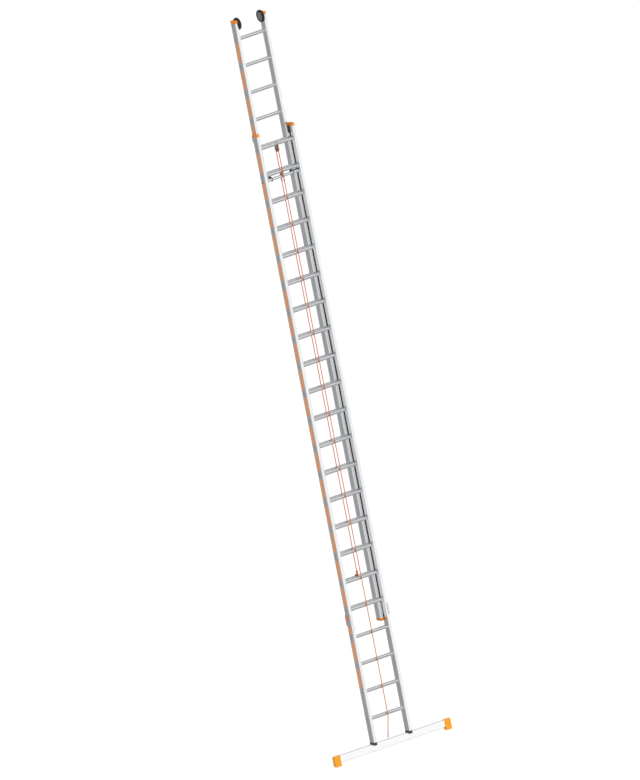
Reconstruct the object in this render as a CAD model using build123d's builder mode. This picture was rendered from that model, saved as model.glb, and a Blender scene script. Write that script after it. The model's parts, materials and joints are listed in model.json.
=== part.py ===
"""Two-section rope-operated extension ladder, leaning as it stands in use.

Millimetres, +Z up, +X along the rungs to the climber's right, +Y towards the wall. The origin lies on the
floor under the middle of the lean. Most pieces are drawn in the ladder's own leaning axes: x across,
n rearwards from the base section's front plane, u up along the stiles from the crossbar's top.
"""
from math import cos, degrees, pi, radians, sin
import os

from build123d import *

# Stance
LEAN = radians(71.15)
RUNG_PITCH = 280.0
RUNG_COUNT = 22
RUNGS_RAISED = 4

# Stile extrusion and rung extrusion, the same in both sections
STILE_WIDTH = 32.0
STILE_DEPTH = 80.0
STILE_WALL = 2.0
STILE_CORNER = 1.5
STILE_INNER_CORNER = 1.2
GROOVE_WIDTH = 3.0
GROOVE_DEPTH = 0.8
GROOVE_INSET = 12.0
RUNG = 32.0
RUNG_WALL = 1.8
RUNG_CORNER = 10.0
RUNG_SLIT = 8.0
RUNG_SLIT_HEIGHT = 3.0
TREAD_GROOVES = 5
TREAD_SPACING = 3.4
TREAD_WIDTH = 1.8
TREAD_DEPTH = 0.9
BEAD = 1.5
BEAD_LENGTH = 1.2

# Sections
BASE_WIDTH = 456.0
FLY_WIDTH = 374.0
FLY_SETBACK = 63.5
BASE_FIRST_RUNG = 256.0
BASE_TOP_ABOVE_RUNG = 157.5
FLY_TOP_ABOVE_RUNG = 192.0
FLY_BOTTOM_BELOW_RUNG = 219.0
CAP_HEIGHT = 27.0
CAP_LID = 4.0
CAP_WALL = 2.0
CAP_CORNER = 5.0
CAP_CROWN = 3.0
PLUG_DEPTH = 24.0
PLUG_PLAY = 0.2
PLUG_CORNER = 1.0

# Crossbar, feet and the joint between crossbar and stiles
BAR_LENGTH = 1400.0
BAR_HEIGHT = 70.0
BAR_DEPTH = 30.0
BAR_WALL = 3.0
FOOT_WIDTH = 73.0
FOOT_DEPTH = 41.0
FOOT_RISE = 3.0
FOOT_DROP = 98.0
FOOT_POCKET = 60.0
FOOT_TONGUE = 12.0
FOOT_CORNER = 4.0
FOOT_GROOVES = 4
FOOT_GROOVE_WIDTH = 3.0
FOOT_GROOVE_DEPTH = 1.2
FOOT_TONGUE_WIDTH = 22.0
SHOE_FLANGE = 3.0
SHOE_LIP = 12.0
SHOE_COLLAR = 14.0
ANCHOR_HEIGHT = 25.0
BAR_BOLT_R = 5.0
BAR_BOLT_HEAD_R = 8.5
BAR_BOLT_HEAD = 6.4

# Guides between the sections
SHEET = 3.0
BEND_R = 4.0
GUIDE_PLAY = 1.5
PAD = 3.5
PLAY = 0.3
TOP_GUIDE_FROM = 10.0
TOP_GUIDE_HEIGHT = 70.0
TOP_GUIDE_TAIL = 160.0
TOP_GUIDE_UNDER_CAP = 2.0
TOP_PAD_STOP = 10.0
TOP_PAD_STOP_ROOT = 12.0
TOP_PAD_STOP_TIP = 5.0
BOTTOM_GUIDE_FROM = 63.0
BOTTOM_GUIDE_HEIGHT = 107.0
BOTTOM_GUIDE_LIP = 18.0
BOTTOM_FLANGE_REAR = 76.0
BOTTOM_PAD_INSET = 8.0
BOTTOM_PAD_WIDTH = 12.0
BOTTOM_PAD_HEIGHT = 99.0
BOTTOM_PAD_CORNER = 3.0
RIVET_R = 3.0
RIVET_HEAD_R = 6.0
RIVET_HEAD = 2.4
RIVET_HEAD_TAPER = 20.0
RIVET_EDGE = 12.0

# Wall rollers at the top of the fly
ROLLER_R = 62.5
ROLLER_WIDTH = 24.4
TYRE_INNER_R = 44.0
ROLLER_SETBACK = 36.5
ROLLER_BELOW_TOP = 40.0
ROLLER_BOLT_R = 6.0
ROLLER_HEAD_R = 9.4
ROLLER_HEAD = 7.5
ROLLER_WASHER = 3.0
ROLLER_WINDOWS = 5
ROLLER_WINDOW_R = 5.5
ROLLER_WINDOW_CIRCLE = 27.0
ROLLER_BOSS_R = 15.0
ROLLER_RIM_R = 39.0
ROLLER_WEB_HALF = 4.0
ROLLER_WEB_SLOPE = 3.0
ROLLER_RIM_INSET = 2.0
ROLLER_SHOULDER = 6.0
ROLLER_WASHER_R = 11.4
ROLLER_THREAD_END = 4.0

# Rope and pulley
ROPE_R = 4.5
ROPE_REST = 0.2
SHEAVE_PITCH_R = 23.0
SHEAVE_FLANGE_R = 29.0
SHEAVE_WIDTH = 17.0
SHEAVE_BELOW_RUNG = 54.0
SHEAVE_AXLE_R = 5.0
AXLE_HEAD_R = 8.0
AXLE_HEAD = 3.0
RUNNING_FIT = 0.05
BAND = 2.5
BAND_WIDTH = 30.0
CHEEK = 2.5
CHEEK_GAP = 0.6
CHEEK_R = 19.0
CHEEK_SADDLE = 14.0
TAIL_LENGTH = 252.0
TAIL_BEND_R = 60.0
TAIL_BEND_BELOW_RUNG = 20.0
HOIST_GAP = 0.05

# Hitch of the rope on the fly's second rung
HITCH_RUNG = 2
KNOT_R = 9.5
KNOT_LENGTH = 46.0
KNOT_ROUND = 4.0
KNOT_ABOVE_RUNG = 24.0

# Catch below the second base rung from the top
CATCH_BELOW_RUNG = 52.0
CATCH_DEPTH = 41.0
CATCH_TUBE_R = 15.0
CATCH_TUBE_WALL = 2.0
CATCH_BUSH = 12.0
CATCH_SHAFT_R = 8.0
CATCH_TUBE_HALF = 132.0
HOOK_X = 127.0
HOOK_SHEET = 6.0
HOOK_HUB_R = 23.0
HOOK_HALF = 6.0
NOSE_REACH = 61.0
NOSE_TILT = radians(10.0)
CATCH_SWING = radians(47.0)
HEEL_REACH = 33.7
HEEL_TILT = radians(104.4)
CATCH_PAD_SKIN = 2.0
CATCH_PAD_SOLE = 4.0
CATCH_PAD_FROM = 36.0
CATCH_PAD_WIDTH = 20.0
BUFFER_FRONT = 26.0
BUFFER_REAR = 42.0
BUFFER_LOW = -6.0
BUFFER_HIGH = 44.0
BUFFER_SHOULDER = 34.0
BUFFER_ROOT = 30.0
TONGUE_REACH = 38.0
TONGUE_HIGH = 18.0
CATCH_NUT_R = 12.0
CATCH_NUT = 9.0
GUIDE_EYE_R = 7.0
GUIDE_EYE_BORE = 5.2
GUIDE_LENGTH = 88.0
GUIDE_WEB = 12.0
GUIDE_THICKNESS = 10.0
GUIDE_FLANGE = 4.0
GUIDE_FLANGE_HALF = 16.0
GUIDE_FLANGE_DEPTH = 26.0
GUIDE_SADDLE = 12.0

# The rungs are turned so that their treads lie level; their reach is half their height along the stiles
LEVEL = pi / 2 - LEAN
RUNG_REACH = (RUNG / 2 - RUNG_CORNER) * (cos(LEVEL) + sin(LEVEL)) + RUNG_CORNER

# Heights along the ladder that follow from the sizes above
RUNG_DEPTH = STILE_DEPTH / 2
BASE_RUNGS = [BASE_FIRST_RUNG + RUNG_PITCH * i for i in range(RUNG_COUNT)]
FLY_FIRST_RUNG = BASE_FIRST_RUNG + RUNG_PITCH * RUNGS_RAISED
FLY_RUNGS = [FLY_FIRST_RUNG + RUNG_PITCH * i for i in range(RUNG_COUNT)]
BASE_TOP = BASE_RUNGS[-1] + BASE_TOP_ABOVE_RUNG
FLY_TOP = FLY_RUNGS[-1] + FLY_TOP_ABOVE_RUNG
FLY_BOTTOM = FLY_RUNGS[0] - FLY_BOTTOM_BELOW_RUNG
BAR_CENTRE = STILE_DEPTH / 2
ROLLER_N = FLY_SETBACK + ROLLER_SETBACK
ROLLER_U = FLY_TOP - ROLLER_BELOW_TOP
FREE_N = RUNG_DEPTH - RUNG_REACH - ROPE_R - ROPE_REST
SHEAVE_N = FREE_N + SHEAVE_PITCH_R
SHEAVE_U = BASE_RUNGS[-1] - SHEAVE_BELOW_RUNG
HOIST_N = SHEAVE_N + SHEAVE_PITCH_R
CATCH_RUNG = BASE_RUNGS[-2]
CATCH_U = CATCH_RUNG - CATCH_BELOW_RUNG
HITCH_U = FLY_RUNGS[HITCH_RUNG - 1]
HITCH_N = FLY_SETBACK + FREE_N
KNOT_TOP = HITCH_U + KNOT_ABOVE_RUNG + KNOT_LENGTH
BASE_INNER = BASE_WIDTH / 2 - STILE_WIDTH
FLY_INNER = FLY_WIDTH / 2 - STILE_WIDTH
TOP_GUIDE_U = BASE_TOP - CAP_HEIGHT - TOP_GUIDE_UNDER_CAP - TOP_GUIDE_HEIGHT

# The leaning axes: soles on the floor, lean centred over the origin
RISE = FOOT_DROP * sin(LEAN) + BAR_CENTRE * cos(LEAN)
TOE_N = BAR_CENTRE - FOOT_DEPTH / 2


def sole(n):
    """Height along the ladder at which the floor cuts depth n."""
    return (n * cos(LEAN) - RISE) / sin(LEAN)


REAREST = ROLLER_N * sin(LEAN) + ROLLER_U * cos(LEAN) + ROLLER_R
FOREMOST = TOE_N * sin(LEAN) + sole(TOE_N) * cos(LEAN)
ORIGIN = (0, -(REAREST + FOREMOST) / 2, RISE)
ALONG = Vector(0, cos(LEAN), sin(LEAN))
REAR = Vector(0, sin(LEAN), -cos(LEAN))
ACROSS = Vector(1, 0, 0)
LADDER = Plane(origin=ORIGIN, x_dir=ACROSS, z_dir=ALONG)
SIDE = Plane(origin=ORIGIN, x_dir=REAR, z_dir=ACROSS)
FACE = Plane(origin=ORIGIN, x_dir=ACROSS, z_dir=-REAR)
ALONG_AXIS = Axis(ORIGIN, ALONG)
HANDS = (("left", -1), ("right", 1))


def section(u):
    """Plane square to the stiles at height u, with coordinates x and n."""
    return LADDER.offset(u)


def side(x):
    """Plane square to the rungs at x, with coordinates n and u."""
    return SIDE.offset(x)


def face(n):
    """Plane along the ladder's front at depth n, with coordinates x and u, facing forwards."""
    return FACE.offset(-n)


def along_x(n, u):
    """Plane through a cross axle, with coordinates x and n about the axle's middle."""
    return Plane(origin=point(0, n, u), x_dir=ACROSS, z_dir=ALONG)


def point(x, n, u):
    """A point of the leaning axes in the part's frame."""
    return Vector(*ORIGIN) + ACROSS * x + REAR * n + ALONG * u


def turned(reach, height, angle):
    """The point at reach along and height above an arm turned up by angle, as (n, u) offsets."""
    n = reach * cos(angle) - height * sin(angle)
    u = reach * sin(angle) + height * cos(angle)
    return (n, u)


def rung_places(centre, heights):
    """Places of level rungs at depth centre, for a sketch on a plane of side()."""
    return Locations(*[Location((centre, u, 0), (0, 0, degrees(LEVEL))) for u in heights])


def save(piece, name):
    """Name a finished piece and write it."""
    piece.part.label = name
    export_step(piece.part, f"parts/{name}.step")


def stile(name, hand, half_width, front, foot, top, rungs, holes, grooved):
    """Hollow stile with two grooves in the face at x = hand * grooved, rung holes and round cross holes.

    Each cross hole is (n, u, radius, start, depth), with start measured inwards from the outer face.
    """
    middle = hand * (half_width - STILE_WIDTH / 2)
    low = middle - STILE_WIDTH / 2
    centre = front + STILE_DEPTH / 2
    groove_places = [(hand * grooved, front + n) for n in (GROOVE_INSET, STILE_DEPTH - GROOVE_INSET)]
    with BuildPart() as body:
        with BuildSketch(section(foot)):
            with Locations((middle, centre)):
                RectangleRounded(STILE_WIDTH, STILE_DEPTH, STILE_CORNER)
                RectangleRounded(STILE_WIDTH - 2 * STILE_WALL, STILE_DEPTH - 2 * STILE_WALL,
                                 STILE_INNER_CORNER, mode=Mode.SUBTRACT)
            with Locations(*groove_places):
                Rectangle(2 * GROOVE_DEPTH, GROOVE_WIDTH, mode=Mode.SUBTRACT)
        extrude(amount=top - foot)
        with BuildSketch(side(low - 1)):
            with rung_places(centre, rungs):
                RectangleRounded(RUNG, RUNG, RUNG_CORNER)
        extrude(amount=STILE_WIDTH + 2, mode=Mode.SUBTRACT)
        for n, u, radius, start, depth in holes:
            with BuildSketch(side(hand * (half_width - start + 1))):
                with Locations((n, u)):
                    Circle(radius)
            extrude(amount=-hand * (depth + 2), mode=Mode.SUBTRACT)
    save(body, name)


def rung_set(name, half_width, centre, heights):
    """Hollow rungs with a grooved level tread, swaged at both faces of each stile, with slit ends."""
    inner = half_width - STILE_WIDTH
    hollow = RUNG - 2 * RUNG_WALL
    swage = RUNG + 2 * BEAD
    treads = [TREAD_SPACING * (i - (TREAD_GROOVES - 1) / 2) for i in range(TREAD_GROOVES)]
    with BuildPart() as rungs:
        with BuildSketch(side(-half_width)):
            with rung_places(centre, heights):
                RectangleRounded(RUNG, RUNG, RUNG_CORNER)
                RectangleRounded(hollow, hollow, RUNG_CORNER - RUNG_WALL, mode=Mode.SUBTRACT)
                with Locations(*[(t, RUNG / 2) for t in treads]):
                    Rectangle(TREAD_WIDTH, 2 * TREAD_DEPTH, mode=Mode.SUBTRACT)
        extrude(amount=2 * half_width)
        for start in (-inner, inner - BEAD_LENGTH):
            with BuildSketch(side(start)):
                with rung_places(centre, heights):
                    RectangleRounded(swage, swage, RUNG_CORNER + BEAD)
                    RectangleRounded(hollow, hollow, RUNG_CORNER - RUNG_WALL, mode=Mode.SUBTRACT)
            extrude(amount=BEAD_LENGTH)
        for start in (-half_width - BEAD_LENGTH, half_width):
            with BuildSketch(side(start)):
                with rung_places(centre, heights):
                    RectangleRounded(swage, swage, RUNG_CORNER + BEAD)
                    Rectangle(RUNG_SLIT, RUNG_SLIT_HEIGHT, mode=Mode.SUBTRACT)
            extrude(amount=BEAD_LENGTH)
    save(rungs, name)


def end_cap(name, hand, half_width, front, end, up):
    """Moulded cap over a stile's end, with a plug that fills the hollow. up is 1 at a top, -1 at a foot."""
    middle = hand * (half_width - STILE_WIDTH / 2)
    centre = front + STILE_DEPTH / 2
    hollow_x = STILE_WIDTH - 2 * STILE_WALL - 2 * PLUG_PLAY
    hollow_n = STILE_DEPTH - 2 * STILE_WALL - 2 * PLUG_PLAY
    with BuildPart() as cap:
        with BuildSketch(section(end - up * CAP_HEIGHT)):
            with Locations((middle, centre)):
                RectangleRounded(STILE_WIDTH + 2 * CAP_WALL, STILE_DEPTH + 2 * CAP_WALL, CAP_CORNER)
        extrude(amount=up * CAP_HEIGHT)
        crown = cap.faces().sort_by(ALONG_AXIS)[-1 if up > 0 else 0]
        fillet(crown.edges(), radius=CAP_CROWN)
        with BuildSketch(section(end - up * (CAP_HEIGHT + 1))):
            with Locations((middle, centre)):
                Rectangle(STILE_WIDTH, STILE_DEPTH)
        extrude(amount=up * (CAP_HEIGHT + 1 - CAP_LID), mode=Mode.SUBTRACT)
        with BuildSketch(section(end - up * CAP_LID)):
            with Locations((middle, centre)):
                RectangleRounded(hollow_x, hollow_n, PLUG_CORNER)
        extrude(amount=-up * PLUG_DEPTH)
    save(cap, name)


def stile_end(end, up):
    """Where the extrusion itself stops under a cap whose outer end is at end."""
    return end - up * CAP_LID


def rivets(name, places):
    """Dome-headed rivets. Each place is (x of the sheet's face, hand outwards, grip, n, u)."""
    with BuildPart() as group:
        for x, outwards, grip, n, u in places:
            with BuildSketch(side(x)):
                with Locations((n, u)):
                    Circle(RIVET_HEAD_R)
            extrude(amount=outwards * RIVET_HEAD, taper=RIVET_HEAD_TAPER)
            with BuildSketch(side(x)):
                with Locations((n, u)):
                    Circle(RIVET_R)
            extrude(amount=-outwards * grip)
    save(group, name)


def foot_cap(name, hand):
    """Foot on the crossbar's end: grooved front, pocket for the bar, tongue on top, flat sole."""
    inner = hand * (BAR_LENGTH / 2 - FOOT_WIDTH)
    heel_n = TOE_N + FOOT_DEPTH
    spacing = hand * FOOT_WIDTH / (FOOT_GROOVES + 1)
    with BuildPart() as foot:
        with BuildSketch(side(inner)):
            with BuildLine():
                Polyline((TOE_N, FOOT_RISE), (heel_n, FOOT_RISE), (heel_n, sole(heel_n)),
                         (TOE_N, sole(TOE_N)), close=True)
            make_face()
        extrude(amount=hand * FOOT_WIDTH)
        upright = foot.edges().filter_by(ALONG_AXIS)
        fillet(upright, radius=FOOT_CORNER)
        with BuildSketch(face(TOE_N)):
            with Locations(*[(inner + spacing * (i + 1), -FOOT_DROP / 2) for i in range(FOOT_GROOVES)]):
                SlotOverall(BAR_HEIGHT, FOOT_GROOVE_WIDTH, rotation=90)
        extrude(amount=-FOOT_GROOVE_DEPTH, mode=Mode.SUBTRACT)
        with BuildSketch(side(inner)):
            with Locations((BAR_CENTRE, -BAR_HEIGHT / 2)):
                RectangleRounded(BAR_DEPTH, BAR_HEIGHT, BAR_WALL)
        extrude(amount=hand * FOOT_POCKET, mode=Mode.SUBTRACT)
        with BuildSketch(side(inner)):
            with Locations((BAR_CENTRE, FOOT_RISE / 2)):
                Rectangle(FOOT_TONGUE_WIDTH, FOOT_RISE)
        extrude(amount=-hand * FOOT_TONGUE)
    save(foot, name)


def shoe(name, hand):
    """Saddle under a base stile: flange, lips on the crossbar, collar and plug on the stile, bolt hole."""
    middle = hand * (BASE_WIDTH / 2 - STILE_WIDTH / 2)
    width = STILE_WIDTH + 2 * CAP_WALL
    depth = STILE_DEPTH + 2 * CAP_WALL
    with BuildPart() as saddle:
        with BuildSketch(section(-SHOE_LIP)):
            with Locations((middle, STILE_DEPTH / 2)):
                RectangleRounded(width, depth, CAP_CORNER)
        extrude(amount=SHOE_LIP + SHOE_FLANGE + SHOE_COLLAR)
        with BuildSketch(section(SHOE_FLANGE)):
            with Locations((middle, STILE_DEPTH / 2)):
                Rectangle(STILE_WIDTH, STILE_DEPTH)
        extrude(amount=SHOE_COLLAR, mode=Mode.SUBTRACT)
        with BuildSketch(section(-SHOE_LIP)):
            with Locations((middle, BAR_CENTRE)):
                Rectangle(width, BAR_DEPTH)
        extrude(amount=SHOE_LIP, mode=Mode.SUBTRACT)
        with BuildSketch(section(SHOE_FLANGE)):
            with Locations((middle, STILE_DEPTH / 2)):
                RectangleRounded(STILE_WIDTH - 2 * STILE_WALL - 2 * PLUG_PLAY,
                                 STILE_DEPTH - 2 * STILE_WALL - 2 * PLUG_PLAY, PLUG_CORNER)
        extrude(amount=PLUG_DEPTH)
        with BuildSketch(section(0)):
            with Locations((middle, BAR_CENTRE)):
                Circle(BAR_BOLT_R)
        extrude(amount=SHOE_FLANGE + PLUG_DEPTH, mode=Mode.SUBTRACT)
    save(saddle, name)


def anchor(name, hand):
    """Threaded block inside a base stile that the crossbar's bolt screws into."""
    middle = hand * (BASE_WIDTH / 2 - STILE_WIDTH / 2)
    with BuildPart() as block:
        with BuildSketch(section(SHOE_FLANGE + PLUG_DEPTH)):
            with Locations((middle, STILE_DEPTH / 2)):
                RectangleRounded(STILE_WIDTH - 2 * STILE_WALL, STILE_DEPTH - 2 * STILE_WALL,
                                 STILE_INNER_CORNER)
            with Locations((middle, BAR_CENTRE)):
                Circle(BAR_BOLT_R, mode=Mode.SUBTRACT)
        extrude(amount=ANCHOR_HEIGHT)
    save(block, name)


def top_guide(name, hand):
    """Bent bracket at the base's top: plate on the stile's inner face, tail behind the fly."""
    plate = BASE_INNER - SHEET
    behind = FLY_SETBACK + STILE_DEPTH + GUIDE_PLAY
    corners = [(BASE_INNER, TOP_GUIDE_FROM), (BASE_INNER, behind + SHEET), (TOP_GUIDE_TAIL, behind + SHEET),
               (TOP_GUIDE_TAIL, behind), (plate, behind), (plate, TOP_GUIDE_FROM)]
    with BuildPart() as bracket:
        with BuildSketch(section(TOP_GUIDE_U)):
            with BuildLine():
                Polyline(*[(hand * x, n) for x, n in corners], close=True)
            make_face()
        extrude(amount=TOP_GUIDE_HEIGHT)
        with BuildSketch(side(hand * BASE_INNER)):
            with Locations(*TOP_RIVETS):
                Circle(RIVET_R)
        extrude(amount=-hand * SHEET, mode=Mode.SUBTRACT)
        bends = bracket.edges().filter_by(ALONG_AXIS)
        rear_bend = bends.sort_by_distance(point(hand * BASE_INNER, behind + SHEET, TOP_GUIDE_U))[0]
        fillet(rear_bend, radius=BEND_R)
    save(bracket, name)


def top_pad(name, hand):
    """Plastic pad on a top guide's plate: side guide for the fly with a stop lip before it."""
    outer = BASE_INNER - SHEET
    inner = FLY_WIDTH / 2 + PLAY
    stop = FLY_SETBACK - GUIDE_PLAY
    corners = [(outer, stop - TOP_PAD_STOP_ROOT), (outer, STILE_DEPTH), (inner, STILE_DEPTH), (inner, stop),
               (inner - TOP_PAD_STOP, stop), (inner - TOP_PAD_STOP, stop - TOP_PAD_STOP_TIP)]
    with BuildPart() as pad:
        with BuildSketch(section(TOP_GUIDE_U)):
            with BuildLine():
                Polyline(*[(hand * x, n) for x, n in corners], close=True)
            make_face()
        extrude(amount=TOP_GUIDE_HEIGHT)
    save(pad, name)


def bottom_guide(name, hand):
    """Bent bracket at the fly's foot: flange on the fly, web behind the base, plate round its side, lip."""
    flange = FLY_WIDTH / 2
    plate = BASE_WIDTH / 2 + PLAY + PAD
    web = STILE_DEPTH + GUIDE_PLAY
    rear = FLY_SETBACK + BOTTOM_FLANGE_REAR
    lip = -GUIDE_PLAY
    corners = [(flange, rear), (flange + SHEET, rear), (flange + SHEET, web + SHEET),
               (plate + SHEET, web + SHEET), (plate + SHEET, lip - SHEET),
               (plate + SHEET - BOTTOM_GUIDE_LIP, lip - SHEET), (plate + SHEET - BOTTOM_GUIDE_LIP, lip),
               (plate, lip), (plate, web), (flange, web)]
    low = FLY_BOTTOM + BOTTOM_GUIDE_FROM
    with BuildPart() as bracket:
        with BuildSketch(section(low)):
            with BuildLine():
                Polyline(*[(hand * x, n) for x, n in corners], close=True)
            make_face()
        extrude(amount=BOTTOM_GUIDE_HEIGHT)
        with BuildSketch(side(hand * flange)):
            with Locations(*BOTTOM_RIVETS):
                Circle(RIVET_R)
        extrude(amount=hand * SHEET, mode=Mode.SUBTRACT)
        bends = bracket.edges().filter_by(ALONG_AXIS)
        rear_bend = bends.sort_by_distance(point(hand * (plate + SHEET), web + SHEET, low))[0]
        front_bend = bends.sort_by_distance(point(hand * (plate + SHEET), lip - SHEET, low))[0]
        fillet([rear_bend, front_bend], radius=BEND_R)
    save(bracket, name)


def bottom_pads(name, hand):
    """Two plastic strips inside a bottom guide that slide on the base stile's outer face."""
    plate = BASE_WIDTH / 2 + PLAY + PAD
    middle = FLY_BOTTOM + BOTTOM_GUIDE_FROM + BOTTOM_GUIDE_HEIGHT / 2
    with BuildPart() as pads:
        with BuildSketch(side(hand * plate)):
            with Locations((BOTTOM_PAD_INSET, middle), (STILE_DEPTH - BOTTOM_PAD_INSET, middle)):
                RectangleRounded(BOTTOM_PAD_WIDTH, BOTTOM_PAD_HEIGHT, BOTTOM_PAD_CORNER)
        extrude(amount=-hand * PAD)
    save(pads, name)


def roller_hub(name, hand):
    """Dished hub of a wall roller with round windows and a bored boss."""
    middle = hand * (FLY_INNER - ROLLER_WASHER - PLAY - ROLLER_WIDTH / 2)
    half = ROLLER_WIDTH / 2
    rim = half - ROLLER_RIM_INSET
    half_outline = [(half, ROLLER_BOLT_R + RUNNING_FIT), (half, ROLLER_BOSS_R),
                    (ROLLER_WEB_HALF, ROLLER_BOSS_R + ROLLER_WEB_SLOPE),
                    (ROLLER_WEB_HALF, ROLLER_RIM_R - ROLLER_WEB_SLOPE), (rim, ROLLER_RIM_R),
                    (rim, TYRE_INNER_R)]
    outline = half_outline + [(-x, r) for x, r in reversed(half_outline)]
    with BuildPart() as hub:
        with BuildSketch(along_x(ROLLER_N, ROLLER_U)):
            with BuildLine():
                Polyline(*[(middle + x, r) for x, r in outline], close=True)
            make_face()
        revolve(axis=Axis(point(0, ROLLER_N, ROLLER_U), ACROSS))
        with BuildSketch(side(middle - half)):
            with Locations((ROLLER_N, ROLLER_U)):
                with PolarLocations(ROLLER_WINDOW_CIRCLE, ROLLER_WINDOWS):
                    Circle(ROLLER_WINDOW_R)
        extrude(amount=ROLLER_WIDTH, mode=Mode.SUBTRACT)
    save(hub, name)


def roller_tyre(name, hand):
    """Rubber tyre of a wall roller with rounded shoulders."""
    middle = hand * (FLY_INNER - ROLLER_WASHER - PLAY - ROLLER_WIDTH / 2)
    low = middle - ROLLER_WIDTH / 2
    high = middle + ROLLER_WIDTH / 2
    crown = ROLLER_SHOULDER
    with BuildPart() as tyre:
        with BuildSketch(along_x(ROLLER_N, ROLLER_U)):
            with BuildLine():
                Polyline((low, ROLLER_R - crown), (low, TYRE_INNER_R), (high, TYRE_INNER_R),
                         (high, ROLLER_R - crown))
                RadiusArc((high, ROLLER_R - crown), (high - crown, ROLLER_R), -crown)
                Line((high - crown, ROLLER_R), (low + crown, ROLLER_R))
                RadiusArc((low + crown, ROLLER_R), (low, ROLLER_R - crown), -crown)
            make_face()
        revolve(axis=Axis(point(0, ROLLER_N, ROLLER_U), ACROSS))
    save(tyre, name)


def roller_bolt(name, hand):
    """Roller axle: hexagon head on the stile's outer face, shank through stile, washer, hub and nut."""
    outer = hand * FLY_WIDTH / 2
    tip = FLY_INNER - ROLLER_WASHER - 2 * PLAY - ROLLER_WIDTH - ROLLER_HEAD - ROLLER_THREAD_END
    with BuildPart() as bolt:
        with BuildSketch(side(outer)):
            with Locations((ROLLER_N, ROLLER_U)):
                RegularPolygon(ROLLER_HEAD_R, 6)
        extrude(amount=hand * ROLLER_HEAD)
        with BuildSketch(side(outer)):
            with Locations((ROLLER_N, ROLLER_U)):
                Circle(ROLLER_BOLT_R)
        extrude(amount=-hand * (FLY_WIDTH / 2 - tip))
    save(bolt, name)


def roller_fasteners(name, start, length, hexagon):
    """The pair of washers or of nuts on the two roller bolts, from x = start inwards."""
    with BuildPart() as group:
        for _, hand in HANDS:
            with BuildSketch(side(hand * start)):
                with Locations((ROLLER_N, ROLLER_U)):
                    if hexagon:
                        RegularPolygon(ROLLER_HEAD_R, 6)
                    else:
                        Circle(ROLLER_WASHER_R)
                    Circle(ROLLER_BOLT_R, mode=Mode.SUBTRACT)
            extrude(amount=-hand * length)
    save(group, name)


def cheek(name, hand):
    """Side plate of the pulley, from a saddle under the rung's band down round the axle."""
    inner = hand * (SHEAVE_WIDTH / 2 + CHEEK_GAP)
    top = BASE_RUNGS[-1] - CHEEK_SADDLE
    band = RUNG + 2 * BAND
    with BuildPart() as plate:
        with BuildSketch(side(inner)):
            with BuildLine():
                Line((SHEAVE_N - CHEEK_R, top), (SHEAVE_N + CHEEK_R, top))
                Line((SHEAVE_N + CHEEK_R, top), (SHEAVE_N + CHEEK_R, SHEAVE_U))
                RadiusArc((SHEAVE_N + CHEEK_R, SHEAVE_U), (SHEAVE_N - CHEEK_R, SHEAVE_U), CHEEK_R)
                Line((SHEAVE_N - CHEEK_R, SHEAVE_U), (SHEAVE_N - CHEEK_R, top))
            make_face()
            with rung_places(RUNG_DEPTH, BASE_RUNGS[-1:]):
                RectangleRounded(band, band, RUNG_CORNER + BAND, mode=Mode.SUBTRACT)
            with Locations((SHEAVE_N, SHEAVE_U)):
                Circle(SHEAVE_AXLE_R, mode=Mode.SUBTRACT)
        extrude(amount=hand * CHEEK)
    save(plate, name)


def hook(name, hand):
    """Bell crank of the catch at rest, swung clear: hub on the tube, nose, heel stop and buffer tongue."""
    nose = [turned(r, h, NOSE_TILT + CATCH_SWING) for r, h in
            ((0, -HOOK_HALF), (NOSE_REACH, -HOOK_HALF), (NOSE_REACH, HOOK_HALF), (0, HOOK_HALF))]
    heel = [turned(r, h, HEEL_TILT + CATCH_SWING) for r, h in
            ((0, -HOOK_HALF), (HEEL_REACH, -HOOK_HALF), (HEEL_REACH, HOOK_HALF), (0, HOOK_HALF))]
    tongue = [(0, 0), (TONGUE_REACH, 0), (TONGUE_REACH, TONGUE_HIGH), (0, TONGUE_HIGH)]
    with BuildPart() as plate:
        with BuildSketch(side(hand * HOOK_X - HOOK_SHEET / 2)):
            with Locations((CATCH_DEPTH, CATCH_U)):
                Circle(HOOK_HUB_R)
            for arm in (nose, heel, tongue):
                with BuildLine():
                    Polyline(*[(CATCH_DEPTH + n, CATCH_U + u) for n, u in arm], close=True)
                make_face()
            with Locations((CATCH_DEPTH, CATCH_U)):
                Circle(CATCH_TUBE_R, mode=Mode.SUBTRACT)
        extrude(amount=HOOK_SHEET)
    save(plate, name)


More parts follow.
